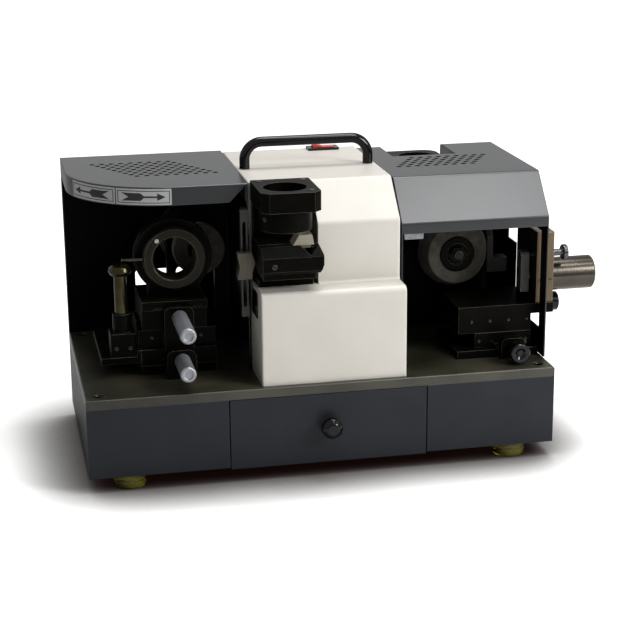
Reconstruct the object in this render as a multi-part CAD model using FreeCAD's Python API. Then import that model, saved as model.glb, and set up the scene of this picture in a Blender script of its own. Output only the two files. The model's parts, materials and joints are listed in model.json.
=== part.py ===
import FreeCAD
import Part
import math
import os

# Bench sharpener for drills and end mills. Millimetres, +X right, +Y back, +Z up.
# The origin is on the floor under the middle of the machine's overall length and depth.

Vec = FreeCAD.Vector

# Fits and sheet metal
slide_gap = 0.3
shaft_gap = 0.05
seam = 1.7
sheet = 2.0
edge_round = 1.6

# Base, deck and the three bays on it
base_depth = 226.0
left_bay_width = 163.3
cover_width = 138.8
right_bay_width = 144.5
foot_height = 15.0
foot_radius = 15.5
foot_inset_x = 39.0
foot_inset_y = 19.0
foot_stud_radius = 4.0
cabinet_height = 67.0
cabinet_flange = 24.0
deck_thickness = 9.0
deck_bevel = 0.8
deck_screw_inset = 13.0
deck_screw_radius = 3.0
deck_head_radius = 5.0
deck_head_height = 6.0

# Drawer
drawer_width = 189.5
drawer_offset = 2.7
drawer_seam = 1.0
drawer_drop = 2.0
drawer_inset = 12.0
drawer_depth = 176.0
tray_height = 48.0
tray_wall = 1.5
tray_corner = 5.0
runner_height = 20.0
runner_foot = 14.0
knob_radius = 10.0
knob_length = 18.0
knob_stud_radius = 2.5

# Centre cover, handle, switch and power parts
cover_height = 181.8
cover_setback = 5.3
shelf_height = 89.0
shelf_depth = 27.4
cover_wall_height = 147.0
cover_slope_depth = 36.4
bend_radius = 6.0
handle_span = 123.2
handle_radius = 5.0
handle_rise = 25.8
handle_bend = 17.0
handle_setback = 63.6
handle_stud_radius = 3.0
switch_length = 27.6
switch_width = 12.0
switch_lip = 2.4
switch_depth = 18.0
switch_offset = 33.6
switch_inset = 10.5
rocker_tilt = 9.0
inlet_width = 27.0
inlet_height = 19.0
inlet_lip = 2.5
inlet_depth = 20.0
inlet_offset = 34.0
inlet_rise = 24.0
core_length = 66.0
core_width = 52.0
core_height = 56.0
coil_overhang = 9.0

# Hoods over the bays
left_hood_height = 183.0
left_hood_depth = 168.0
left_hood_corner = 95.0
lip_height = 17.5
right_hood_height = 179.7
right_slope_drop = 38.3
right_slope_depth = 34.7
right_lip_height = 9.8
right_lip_setback = 33.6
hood_overhang = 1.5
vent_pitch = 9.4
vent_radius = 2.7
vent_columns = 9
left_vent_rows = 9
left_vent_inset = 28.6
left_vent_setback = 45.0
right_vent_rows = 6
right_vent_inset = 42.0
right_vent_setback = 69.0
window_inset = 71.0
window_width = 60.0
window_height = 20.0
window_rise = 42.5
window_corner = 4.0
wall_cut_length = 104.0
wall_cut_rise = 25.4
wall_cut_height = 99.6
wall_tongue_reach = 25.7
wall_tongue_rise = 39.5
wall_tongue_height = 53.5
rear_notch_inset = 25.5
rear_notch_width = 66.0
rear_notch_depth = 57.0
rear_notch_drop = 30.0

# Grinding heads: motor plate, motor, spindle, wheel
motor_radius = 32.0
motor_length = 48.0
motor_gap = 5.0
motor_nose_radius = 16.0
motor_nose_length = 20.0
motor_plate_thickness = 8.0
motor_plate_margin = 8.0
motor_plate_bevel = 10.0
motor_plate_foot = 18.0
left_plate_reach = 28.0
right_plate_reach = 46.0
portal_leg = 9.0
portal_inset = 14.6
portal_sill = 10.0
portal_corner = 6.0
spindle_radius = 6.0
spindle_engagement = 36.0
spindle_flange_radius = 15.0
spindle_flange_thickness = 5.0
wheel_hub_radius = 8.0
thread_radius = 5.0
left_wheel_radius = 25.5
right_wheel_radius = 30.6
wheel_recess_radius = 11.4
wheel_recess_depth = 5.0
left_wheel_thickness = 13.0
right_wheel_thickness = 20.0
right_wheel_flare = 5.4
left_wheel_rise = 105.0
right_wheel_rise = 88.3
left_wheel_inset = 40.0
right_wheel_inset = 66.0
left_wheel_standoff = 25.0
right_wheel_standoff = 30.0
nut_flats = 14.0
nut_height = 7.0
washer_thickness = 2.6

# End mill side: feed slide, cross slide, chuck seat and stop post
ring_offset = 30.0
ring_rise = 109.5
ring_standoff = 48.0
ring_radius = 30.0
chuck_radius = 20.5
ring_thickness = 12.0
ring_neck_radius = 25.0
seat_radius = 37.5
seat_thickness = 12.0
seat_pedestal = 52.0
slide_width = 72.0
slide_length = 80.0
slide_reach = 12.0
bed_height = 9.0
dovetail_root = 26.0
dovetail_height = 6.0
feed_height = 15.7
cross_base_height = 17.5
saddle_width = 62.0
saddle_length = 62.0
saddle_height = 29.2
saddle_setback = 6.0
saddle_shift = 3.0
saddle_bevel = 3.0
screw_radius = 3.0
feed_screw_rise = 19.5
feed_lug_thickness = 12.0
feed_lug_width = 28.0
feed_lug_gap = 8.0
feed_thread_length = 24.0
thimble_radius = 7.5
feed_thimble_length = 48.0
cross_thimble_length = 67.0
thimble_grip = 20.0
gear_module = 1.0
pinion_teeth = 12
pinion_width = 6.0
gear_backlash = 0.3
rack_height = 8.5
pinion_lug_thickness = 6.0
post_plate_reach = 38.0
post_plate_length = 98.0
post_plate_thickness = 6.0
post_plate_rise = 13.0
post_gap = 16.5
post_radius = 6.0
post_cap_radius = 11.0
post_cap_height = 9.5
post_block_size = 24.0
post_block_height = 23.2
post_collar_radius = 8.7
post_collar_height = 17.8
post_engagement = 20.0
stop_rod_radius = 2.0
stop_rod_inset = 2.5
stop_rod_grip = 6.0

# Front setting fixture and its stop
setting_width = 56.0
setting_depth = 66.0
setting_head_height = 18.5
setting_head_rise = 2.0
setting_chamfer = 7.0
setting_bore_setback = 29.5
sleeve_radius = 25.0
sleeve_length = 20.0
setting_back_thickness = 9.5
setting_foot_length = 26.0
setting_foot_height = 7.0
jaw_rise = 18.0
jaw_height = 25.0
jaw_depth = 55.0
jaw_bevel = 9.0
jaw_heel = 3.0
jaw_groove_half = 9.0
jaw_groove_depth = 8.0
jaw_slot_setback = 17.0
wedge_inset = 6.0
wedge_length = 20.0
wedge_depth = 17.0
wedge_height = 9.5
wedge_lean = 5.8
wedge_setback = 9.5
wedge_tongue = 4.0
stop_bar_width = 6.5
stop_bar_depth = 8.0
stop_bar_length = 102.0
stop_bar_rise = 57.0
stop_slot_width = 3.4
stop_lug_height = 10.0
stop_block_height = 25.0
stop_block_rise = 39.0
stop_block_depth = 9.5
stop_block_side = 8.5
stop_block_tip = 3.2
stop_stem_radius = 1.4

# Rear setting block
rear_block_length = 56.5
rear_block_depth = 50.0
rear_block_height = 16.0
rear_block_drop = 4.7
rear_bore_radius = 18.5
rear_bore_inset = 30.5
rear_post_width = 11.0
rear_shelf_depth = 14.0

# Drill side: feed slide, table, chuck plates, tube and latch
right_bed_length = 82.0
right_bed_depth = 80.0
right_bed_reach = 70.0
right_bed_height = 8.0
right_bed_inset = 3.0
feed_line_inset = 31.0
right_screw_rise = 12.0
right_feed_width = 57.0
right_feed_height = 14.7
right_feed_shift = 5.5
right_feed_setback = 8.0
right_lug_width = 24.0
right_lug_thickness = 9.0
right_lug_height = 21.0
feed_knob_radius = 9.7
feed_knob_length = 11.0
feed_knob_hub = 6.0
feed_knob_reach = 21.0
nut_lug_half = 4.5
nut_lug_length = 16.0
nut_lug_setback = 12.0
table_length = 97.0
table_depth = 64.0
table_height = 26.7
table_skirt = 74.0
table_top_height = 10.0
table_line_setback = 42.0
table_screw_rise = 39.0
table_cheek = 6.0
table_boss_half = 9.0
table_knob_length = 10.0
table_knob_hub = 8.0
tube_setback = 35.0
tube_rise = 19.5
tube_radius = 16.7
tube_bore_radius = 13.0
tube_reach = 51.2
chuck_plate_thickness = 6.0
chuck_plate_space = 5.3
chuck_plate_depth = 61.0
chuck_plate_height = 71.0
chuck_plate_corner = 5.0
chuck_plate_inset = 2.7
chuck_plate_setback = 2.0
latch_setback = 17.0
latch_rise = 46.0
latch_shaft_radius = 3.5
latch_knob_radius = 7.7
latch_knob_length = 5.0
latch_knob_reach = 13.4
latch_lever_thickness = 8.5
latch_lever_width = 10.0
latch_lever_length = 37.0
latch_gap = 4.3
latch_ball_radius = 3.8
latch_ball_drop = 22.0
dresser_offset = 38.0
dresser_plate = 6.0
dresser_length = 30.0
dresser_rise = 62.0
dresser_height = 52.0
dresser_block = 15.0
dresser_depth = 14.0

# Places worked out from the sizes above
base_length = left_bay_width + cover_width + right_bay_width + 2 * seam
tube_overhang = 2 * chuck_plate_thickness + chuck_plate_space + tube_reach - chuck_plate_inset
left_x = -(base_length + tube_overhang) / 2
right_x = left_x + base_length
front_y = knob_length - (knob_length + base_depth + inlet_lip) / 2
back_y = front_y + base_depth
deck_z = foot_height + cabinet_height
deck_top = deck_z + deck_thickness
cover_left = left_x + left_bay_width + seam
cover_right = cover_left + cover_width
cover_mid = (cover_left + cover_right) / 2
cover_front = front_y + cover_setback
shelf_z = deck_top + shelf_height
cover_wall_y = cover_front + shelf_depth
cover_wall_z = deck_top + cover_wall_height
cover_fold_y = cover_wall_y + cover_slope_depth
cover_top = deck_top + cover_height
switch_x = cover_mid + switch_offset
switch_y = back_y - switch_inset
rocker_z = cover_top + switch_lip
drawer_mid = (left_x + right_x) / 2 + drawer_offset
drawer_left = drawer_mid - drawer_width / 2
drawer_right = drawer_mid + drawer_width / 2
cabinet_floor = foot_height + sheet
tray_left = drawer_left + drawer_inset
tray_right = drawer_right - drawer_inset
tray_z = cabinet_floor + tray_wall + slide_gap
tray_front = front_y + sheet
knob_z = tray_z + tray_height * 2 / 3
left_hood_top = deck_top + left_hood_height
left_hood_right = cover_left - seam
left_hood_front = back_y - left_hood_depth
right_hood_left = cover_right + seam
right_hood_right = right_x + hood_overhang
right_hood_top = deck_top + right_hood_height
right_lip_y = front_y + right_lip_setback
right_fold_y = right_lip_y + right_slope_depth
right_slope_z = right_hood_top - right_slope_drop
rear_notch_left = right_hood_left + rear_notch_inset
rear_notch_right = rear_notch_left + rear_notch_width
rear_notch_front = back_y - rear_notch_depth
motor_back = back_y - sheet - motor_gap
motor_front = motor_back - motor_length
plate_front = motor_front - motor_plate_thickness
nose_front = motor_front - motor_nose_length
left_wheel_front = plate_front - left_wheel_standoff - left_wheel_thickness
right_wheel_front = plate_front - right_wheel_standoff - right_wheel_thickness
left_wheel_x = cover_left - left_wheel_inset
left_wheel_z = deck_top + left_wheel_rise
right_wheel_x = right_x - right_wheel_inset
right_wheel_z = deck_top + right_wheel_rise
ring_x = left_wheel_x - ring_offset
ring_z = deck_top + ring_rise
ring_front = left_wheel_front - ring_standoff
ring_back = ring_front + ring_thickness
seat_front = ring_back + slide_gap
seat_back = seat_front + seat_thickness
bed_top = deck_top + bed_height
slide_front = ring_front - slide_reach
slide_back = slide_front + slide_length
feed_top = bed_top + slide_gap + feed_height
feed_screw_z = deck_top + feed_screw_rise
lug_back = slide_front - feed_lug_gap
lug_front = lug_back - feed_lug_thickness
cross_top = feed_top + cross_base_height
saddle_top = cross_top + slide_gap + saddle_height
saddle_front = slide_front + saddle_setback
saddle_back = saddle_front + saddle_length
saddle_left = ring_x - saddle_width / 2 - saddle_shift
saddle_right = saddle_left + saddle_width
pinion_pitch = gear_module * pinion_teeth / 2
rack_bottom = saddle_top - rack_height
pinion_z = rack_bottom + gear_module - pinion_pitch
post_x = ring_x - slide_width / 2 - post_gap
post_y = ring_front
post_plate_z = deck_top + post_plate_rise
post_plate_top = post_plate_z + post_plate_thickness
post_cap_top = ring_z - stop_rod_radius - slide_gap
head_left = cover_left + seam
head_right = head_left + setting_width
head_back = cover_fold_y - seam
head_front = head_back - setting_depth
head_top = cover_top + setting_head_rise
head_bottom = head_top - setting_head_height
setting_x = head_left + setting_width / 2 - 1.5
setting_y = head_front + setting_bore_setback
sleeve_bottom = head_bottom - sleeve_length
bracket_front = head_back - setting_back_thickness
jaw_z = shelf_z + jaw_rise
jaw_top = jaw_z + jaw_height
stop_bar_right = left_hood_right - sheet - 0.8
stop_bar_left = stop_bar_right - stop_bar_width
stop_bar_x = (stop_bar_left + stop_bar_right) / 2
stop_bar_back = left_hood_front - 3.0
stop_bar_front = stop_bar_back - stop_bar_depth
stop_bar_z = deck_top + stop_bar_rise
stop_block_z = stop_bar_z + stop_block_rise
rear_block_left = rear_notch_left + slide_gap
rear_block_front = rear_notch_front + 1.0
rear_block_top = right_hood_top - rear_block_drop
rear_block_z = rear_block_top - rear_block_height
rear_bore_x = rear_block_left + rear_bore_inset
rear_bore_y = rear_block_front + rear_block_depth * 0.42
right_bed_front = right_wheel_front - right_bed_reach
right_bed_right = right_x - right_bed_inset
feed_line = right_x - feed_line_inset
right_bed_top = deck_top + right_bed_height
right_screw_z = deck_top + right_screw_rise
right_feed_right = feed_line + right_feed_width / 2 - right_feed_shift
right_feed_left = right_feed_right - right_feed_width
right_feed_front = right_bed_front + right_feed_setback
right_feed_back = right_feed_front + table_depth
right_feed_top = right_bed_top + slide_gap + right_feed_height
table_front = right_feed_front
table_back = table_front + table_depth
table_z = right_feed_top + slide_gap
table_top = table_z + table_height
table_line = table_front + table_line_setback
table_screw_z = deck_top + table_screw_rise
plate_inner_x = right_x - chuck_plate_inset
plate_outer_x = plate_inner_x + chuck_plate_thickness + chuck_plate_space
table_right = plate_outer_x + chuck_plate_thickness + 0.4
table_left = table_right - table_length
chuck_plate_front = table_front + chuck_plate_setback
tube_y = table_front + tube_setback
tube_z = table_top + tube_rise
tube_end = plate_outer_x + chuck_plate_thickness + tube_reach
latch_y = table_front + latch_setback
latch_z = table_top + latch_rise
lever_right = plate_inner_x - latch_gap
lever_left = lever_right - latch_lever_thickness


def box(x, y, z):
    """Block between the low and high values given for each axis."""
    return Part.makeBox(x[1] - x[0], y[1] - y[0], z[1] - z[0], Vec(x[0], y[0], z[0]))


def rounded_wire(corners, lift):
    """Closed wire through corners (u, v) or (u, v, radius), rounded by tangent arcs where a radius is given."""
    count = len(corners)
    cuts = []
    for index, corner in enumerate(corners):
        here = Vec(corner[0], corner[1], 0)
        if len(corner) < 3 or corner[2] <= 0:
            cuts.append((here, None, here))
            continue
        before = corners[index - 1]
        after = corners[(index + 1) % count]
        back = (Vec(before[0], before[1], 0) - here).normalize()
        ahead = (Vec(after[0], after[1], 0) - here).normalize()
        half = back.getAngle(ahead) / 2
        reach = corner[2] / math.tan(half)
        bisector = (back + ahead).normalize()
        middle = here + bisector * (corner[2] / math.sin(half) - corner[2])
        cuts.append((here + back * reach, middle, here + ahead * reach))
    edges = []
    for index, (start, middle, end) in enumerate(cuts):
        if middle is not None:
            edges.append(Part.Arc(lift(start), lift(middle), lift(end)).toShape())
        following = cuts[(index + 1) % count][0]
        if (following - end).Length > 1e-6:
            edges.append(Part.makeLine(lift(end), lift(following)))
    return Part.Wire(edges)


def prism(corners, axis, low, high):
    """Outline drawn across an axis (its other two coordinates in order) and carried along it from low to high."""
    lifts = {
        "x": lambda p: Vec(low, p.x, p.y),
        "y": lambda p: Vec(p.x, low, p.y),
        "z": lambda p: Vec(p.x, p.y, low),
    }
    runs = {"x": Vec(high - low, 0, 0), "y": Vec(0, high - low, 0), "z": Vec(0, 0, high - low)}
    return Part.Face(rounded_wire(corners, lifts[axis])).extrude(runs[axis])


def spin(profile, axis, centre):
    """Profile of (radius, place along the axis) corners turned about an axis.

    The axis runs through centre, which gives its other two coordinates.
    """
    first, second = centre
    lifts = {
        "x": lambda p: Vec(p.y, first + p.x, second),
        "y": lambda p: Vec(first + p.x, p.y, second),
        "z": lambda p: Vec(first + p.x, second, p.y),
    }
    foot = {"x": Vec(0, first, second), "y": Vec(first, 0, second), "z": Vec(first, second, 0)}
    along = {"x": Vec(1, 0, 0), "y": Vec(0, 1, 0), "z": Vec(0, 0, 1)}
    solid = Part.Face(rounded_wire(profile, lifts[axis])).revolve(foot[axis], along[axis], 360)
    return Part.Solid(solid.Shells[0]) if solid.ShapeType != "Solid" else solid


def rod(axis, centre, radius, low, high):
    """Cylinder along an axis, through centre (other two coordinates), between low and high."""
    first, second = centre
    base = {"x": Vec(low, first, second), "y": Vec(first, low, second), "z": Vec(first, second, low)}
    along = {"x": Vec(1, 0, 0), "y": Vec(0, 1, 0), "z": Vec(0, 0, 1)}
    return Part.makeCylinder(radius, high - low, base[axis], along[axis])


def block(x, y, radius=0.0):
    """Corners of a rectangle, each rounded by the radius."""
    return [(x[0], y[0], radius), (x[1], y[0], radius), (x[1], y[1], radius), (x[0], y[1], radius)]


def fuse(first, *others):
    """One solid from touching or crossing solids."""
    return first.fuse(list(others)).removeSplitter()


def cut(first, *others):
    """First solid with the others taken away."""
    return first.cut(list(others))


def soften(solid, radius, chosen):
    """Round the edges that the chosen test picks."""
    return solid.makeFillet(radius, [edge for edge in solid.Edges if chosen(edge)])


def dovetail(middle, low, root, height, grow=0.0):
    """Outline of a dovetail tongue on a face at height low; grow widens and deepens it into its groove."""
    lean = height * math.tan(math.radians(30))
    top = low + height + grow
    flare = lean * (height + grow) / height
    side = root / 2 + 2 * grow
    return [(middle - side, low), (middle + side, low), (middle + side + flare, top), (middle - side - flare, top)]


def vent_holes(first_x, first_y, columns, rows, shift, low, high):
    """Six-sided vent holes in staggered rows; each row is half a pitch further along by the sign of shift."""
    holes = []
    for row in range(rows):
        for column in range(columns):
            x = first_x + column * vent_pitch + row * shift * vent_pitch / 2
            y = first_y - row * vent_pitch * math.sin(math.radians(60))
            turns = [math.radians(30 + 60 * step) for step in range(6)]
            corners = [(x + vent_radius * math.cos(t), y + vent_radius * math.sin(t)) for t in turns]
            holes.append(prism(corners, "z", low, high))
    return Part.makeCompound(holes)


def corner_places(inset_x, inset_y):
    """Four places, one in from each corner of the base."""
    ends = (left_x + inset_x, right_x - inset_x)
    sides = (front_y + inset_y, back_y - inset_y)
    return [(x, y) for x in ends for y in sides]


def foot_places():
    """Centres of the four feet."""
    return corner_places(foot_inset_x, foot_inset_y)


def deck_screw_places():
    """Centres of the four deck screws."""
    return corner_places(deck_screw_inset, deck_screw_inset)


def base_cabinet():
    """Folded sheet box with a floor, an inward top flange and a full-height doorway for the drawer."""
    outer = box((left_x, right_x), (front_y, back_y), (foot_height, deck_z))
    inner = box((left_x + sheet, right_x - sheet), (front_y + sheet, back_y - sheet), (cabinet_floor, deck_z - sheet))
    inside = (left_x + cabinet_flange, right_x - cabinet_flange)
    depth = (front_y + cabinet_flange, back_y - cabinet_flange)
    mouth = box(inside, depth, (deck_z - 2 * sheet, deck_z))
    doorway = box(
        (drawer_left - drawer_seam, drawer_right + drawer_seam),
        (front_y, front_y + sheet + drawer_seam),
        (foot_height, deck_z),
    )
    studs = [rod("z", place, foot_stud_radius + shaft_gap, foot_height, cabinet_floor) for place in foot_places()]
    screws = [rod("z", place, deck_screw_radius + shaft_gap, deck_z - sheet, deck_z) for place in deck_screw_places()]
    return cut(outer, inner, mouth, doorway, *studs, *screws)


def deck_plate():
    """Thick flat deck with bevelled top edges and sunk corner screws."""
    plate = box((left_x, right_x), (front_y, back_y), (deck_z, deck_top))
    plate = plate.makeChamfer(deck_bevel, [edge for edge in plate.Edges if edge.BoundBox.ZMin > deck_top - 0.1])
    for place in deck_screw_places():
        hole = rod("z", place, deck_screw_radius + shaft_gap, deck_z, deck_top)
        sink = rod("z", place, deck_head_radius + slide_gap, deck_top - deck_head_height, deck_top)
        plate = cut(plate, hole, sink)
    return plate


def deck_screws():
    """Four cap screws holding the deck to the cabinet flange."""
    screws = []
    for place in deck_screw_places():
        head_low = deck_top - deck_head_height
        socket = deck_head_radius / 2
        screws.append(spin([
            (0, deck_z - 3 * sheet),
            (deck_screw_radius, deck_z - 3 * sheet),
            (deck_screw_radius, head_low),
            (deck_head_radius, head_low),
            (deck_head_radius, deck_top - 0.5),
            (socket, deck_top - 0.5),
            (socket, head_low + deck_head_height / 2),
            (0, head_low + deck_head_height / 2),
        ], "z", place))
    return Part.makeCompound(screws)


def feet():
    """Four cast feet: a grooved disc under the cabinet floor with a stud up through it."""
    solids = []
    groove = foot_radius - 1.6
    for place in foot_places():
        solids.append(spin([
            (0, 0),
            (foot_radius - 1.5, 0),
            (foot_radius - 0.3, foot_height * 0.13),
            (foot_radius, foot_height * 0.25),
            (foot_radius, foot_height * 0.45),
            (groove, foot_height * 0.5),
            (groove, foot_height * 0.58),
            (foot_radius, foot_height * 0.63),
            (foot_radius, foot_height - slide_gap),
            (foot_stud_radius, foot_height - slide_gap),
            (foot_stud_radius, cabinet_floor + 2 * sheet),
            (0, cabinet_floor + 2 * sheet),
        ], "z", place))
    return Part.makeCompound(solids)


def drawer_runners():
    """Two angle rails on the cabinet floor that the tray slides on."""
    rails = []
    depth = (tray_front + drawer_seam + sheet, tray_front + drawer_depth)
    for side, edge in ((-1, tray_left - slide_gap), (1, tray_right + slide_gap)):
        outside = edge + side * tray_wall
        under = edge - side * runner_foot
        low = cabinet_floor
        corners = [
            (outside, low),
            (under, low),
            (under, low + tray_wall),
            (edge, low + tray_wall),
            (edge, low + runner_height),
            (outside, low + runner_height),
        ]
        rails.append(prism(corners, "y", depth[0], depth[1]))
    return Part.makeCompound(rails)


def drawer_tray():
    """Open tray with rounded corners and a hole for the knob's stud."""
    y = (tray_front, tray_front + drawer_depth)
    outer = prism(block((tray_left, tray_right), y, tray_corner), "z", tray_z, tray_z + tray_height)
    x_inside = (tray_left + tray_wall, tray_right - tray_wall)
    y_inside = (y[0] + tray_wall, y[1] - tray_wall)
    hollow = block(x_inside, y_inside, tray_corner - tray_wall)
    inner = prism(hollow, "z", tray_z + tray_wall, tray_z + tray_height)
    stud = rod("y", (drawer_mid, knob_z), knob_stud_radius + shaft_gap, y[0], y_inside[0])
    return cut(outer, inner, stud)


def drawer_front():
    """Flat front, flush with the cabinet, hanging a little below its floor."""
    x = (drawer_left, drawer_right)
    z = (foot_height - drawer_drop, deck_z - drawer_seam / 2)
    panel = box(x, (front_y, tray_front), z)
    panel = soften(panel, sheet * 0.3, lambda edge: edge.BoundBox.YMax < front_y + 0.1)
    return cut(panel, rod("y", (drawer_mid, knob_z), knob_stud_radius + shaft_gap, front_y, tray_front))


def drawer_knob():
    """Round knob with a waist and a domed face, on a stud through the front and the tray."""
    inner_end = tray_front + tray_wall + sheet
    tip = front_y - knob_length
    return spin([
        (0, inner_end),
        (knob_stud_radius, inner_end),
        (knob_stud_radius, front_y),
        (knob_radius * 0.6, front_y),
        (knob_radius * 0.5, front_y - knob_length * 0.3, 2.0),
        (knob_radius, front_y - knob_length * 0.5, 1.5),
        (knob_radius, front_y - knob_length * 0.78, 3.0),
        (knob_radius * 0.55, tip, 4.0),
        (0, tip),
    ], "y", (drawer_mid, knob_z))


def cover_outline(inset):
    """Side view of the stepped centre cover, drawn in by inset."""
    lean = math.radians(45) + math.atan2(cover_top - cover_wall_z, cover_slope_depth) / 2
    slope_top = inset * math.tan(math.atan2(cover_top - cover_wall_z, cover_slope_depth) / 2)
    slope_low = inset / math.tan(lean)
    outer_bend = max(bend_radius - inset, 1.0)
    inner_bend = bend_radius / 2 + inset
    return [
        (cover_front + inset, deck_top),
        (cover_front + inset, shelf_z - inset, outer_bend),
        (cover_wall_y + inset, shelf_z - inset, inner_bend),
        (cover_wall_y + inset, cover_wall_z - slope_low, outer_bend),
        (cover_fold_y + slope_top, cover_top - inset, outer_bend),
        (back_y - inset, cover_top - inset, outer_bend / 2),
        (back_y - inset, deck_top),
    ]


def center_cover():
    """Stepped sheet cover with a recess at its upper left front for the setting fixture."""
    outer = prism(cover_outline(0.0), "x", cover_left, cover_right)
    ends = (cover_left, cover_right)

    def on_end(edge):
        """An upper edge of either side panel."""
        span = edge.BoundBox
        flat = span.XMax - span.XMin < 0.01
        return flat and min(abs(span.XMin - end) for end in ends) < 0.01 and span.ZMax > deck_top + 0.1

    outer = soften(outer, edge_round, on_end)
    notch_x = (cover_left - seam, head_right + seam)
    notch = box(notch_x, (cover_front - seam, cover_fold_y), (shelf_z, cover_top + seam))
    inner = prism(cover_outline(sheet), "x", cover_left + sheet, cover_right - sheet)
    lining = box(
        (notch_x[0], notch_x[1] + sheet),
        (cover_front - seam, cover_fold_y + sheet),
        (shelf_z - sheet, cover_top + seam),
    )
    shell = cut(outer, notch).cut(cut(inner, lining))
    opening = box(
        (switch_x - switch_length / 2 - slide_gap, switch_x + switch_length / 2 + slide_gap),
        (switch_y - switch_width / 2 - slide_gap, switch_y + switch_width / 2 + slide_gap),
        (cover_top - sheet, cover_top),
    )
    inlet_x = cover_mid + inlet_offset
    inlet_z = deck_top + inlet_rise
    wide = inlet_width / 2 + slide_gap
    tall = inlet_height / 2 + slide_gap
    socket = box((inlet_x - wide, inlet_x + wide), (back_y - sheet, back_y), (inlet_z - tall, inlet_z + tall))
    studs = []
    for side in (-1, 1):
        place = (cover_mid + side * handle_span / 2, cover_fold_y + handle_setback)
        studs.append(rod("z", place, handle_stud_radius + shaft_gap, cover_top - sheet, cover_top))
    return cut(shell, opening, socket, *studs)


def carry_handle():
    """Bent round bar standing on the cover, with a stud down through it at each end."""
    y = cover_fold_y + handle_setback
    left = cover_mid - handle_span / 2
    right = cover_mid + handle_span / 2
    crown = cover_top + handle_rise
    bend = handle_bend * (1 - math.cos(math.radians(45)))
    shoulder = crown - handle_bend
    left_end = Vec(left + handle_bend, y, crown)
    right_end = Vec(right - handle_bend, y, crown)
    path = Part.Wire([
        Part.makeLine(Vec(left, y, cover_top), Vec(left, y, shoulder)),
        Part.Arc(Vec(left, y, shoulder), Vec(left + bend, y, crown - bend), left_end).toShape(),
        Part.makeLine(left_end, right_end),
        Part.Arc(right_end, Vec(right - bend, y, crown - bend), Vec(right, y, shoulder)).toShape(),
        Part.makeLine(Vec(right, y, shoulder), Vec(right, y, cover_top)),
    ])
    section = Part.Wire(Part.makeCircle(handle_radius, Vec(left, y, cover_top), Vec(0, 0, 1)))
    bar = path.makePipeShell([section], True, False)
    studs = [rod("z", (x, y), handle_stud_radius, cover_top - 4 * sheet, cover_top) for x in (left, right)]
    return fuse(bar, *studs)


def switch_housing():
    """Switch body below the cover's top with a raised frame round the rocker's pocket."""
    x = (switch_x - switch_length / 2, switch_x + switch_length / 2)
    y = (switch_y - switch_width / 2, switch_y + switch_width / 2)
    body = box(x, y, (cover_top - switch_depth, cover_top))
    rim_x = (x[0] - switch_lip, x[1] + switch_lip)
    rim_y = (y[0] - switch_lip, y[1] + switch_lip)
    frame = prism(block(rim_x, rim_y, 2.0), "z", cover_top, cover_top + switch_lip)
    pocket = box(
        (x[0] + sheet, x[1] - sheet),
        (y[0] + sheet / 2, y[1] - sheet / 2),
        (cover_top - switch_depth * 0.7, cover_top + switch_lip),
    )
    pin_hole = rod("y", (switch_x, rocker_z), 1.0 + shaft_gap, rim_y[0] + sheet / 2, rim_y[1] - sheet / 2)
    return cut(fuse(body, frame), pocket, cut(pin_hole, box(rim_x, rim_y, (rocker_z, rocker_z + sheet))))


def switch_rocker():
    """Rocker with two sloping pads, tipped to one side, on a pin across the frame."""
    half = switch_length / 2 - sheet - 2 * slide_gap
    y = (switch_y - switch_width / 2 + sheet / 2 + slide_gap, switch_y + switch_width / 2 - sheet / 2 - slide_gap)
    corners = [
        (-half, 2.6),
        (0, 0.9),
        (half, 2.6),
        (half * 0.94, -2.0),
        (3.0, -7.0),
        (-3.0, -7.0),
        (-half * 0.94, -2.0),
    ]
    pad = prism(corners, "y", y[0], y[1])
    pin = rod("y", (0, 0), 1.0, y[0] - 0.8, y[1] + 0.8)
    rocker = fuse(pad, pin)
    rocker.rotate(Vec(0, 0, 0), Vec(0, 1, 0), rocker_tilt)
    rocker.translate(Vec(switch_x, 0, rocker_z))
    return rocker


def power_inlet():
    """Recessed three-pin inlet through the back of the cover."""
    x = cover_mid + inlet_offset
    z = deck_top + inlet_rise
    wide = (x - inlet_width / 2, x + inlet_width / 2)
    tall = (z - inlet_height / 2, z + inlet_height / 2)
    body = box(wide, (back_y - inlet_depth, back_y), tall)
    rim = block((wide[0] - 2 * sheet, wide[1] + 2 * sheet), (tall[0] - 2 * sheet, tall[1] + 2 * sheet), 3.0)
    flange = prism(rim, "y", back_y, back_y + inlet_lip)
    recess = prism(
        block((wide[0] + sheet, wide[1] - sheet), (tall[0] + sheet, tall[1] - sheet), 2.0),
        "y", back_y - inlet_depth * 0.75, back_y + inlet_lip,
    )
    pins = []
    for step, rise in ((-7.0, -1.5), (0.0, 2.5), (7.0, -1.5)):
        reach = (back_y - inlet_depth * 0.75, back_y - inlet_lip)
        pins.append(box((x + step - 1, x + step + 1), reach, (z + rise - 2, z + rise + 2)))
    return fuse(cut(fuse(body, flange), recess), *pins)


def power_supply():
    """Transformer on a folded foot plate: laminated core round a coil."""
    x = (cover_mid - core_length / 2, cover_mid + core_length / 2)
    middle = (cover_fold_y + back_y) / 2
    y = (middle - core_width / 2, middle + core_width / 2)
    z = (deck_top + sheet, deck_top + sheet + core_height)
    foot = box((x[0] - 12.0, x[1] + 12.0), y, (deck_top, deck_top + sheet))
    leg = core_length / 6
    core = box(x, y, z)
    for low in (x[0] + leg, x[0] + 3.5 * leg):
        core = cut(core, box((low, low + 1.5 * leg), y, (z[0] + leg, z[1] - leg)))
    coil_y = (y[0] - coil_overhang, y[1] + coil_overhang)
    coil_x = (x[0] + leg, x[1] - leg)
    winding = prism(block(coil_x, coil_y, coil_overhang), "z", z[0] + leg, z[1] - leg)
    return fuse(foot, core, winding)


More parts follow.
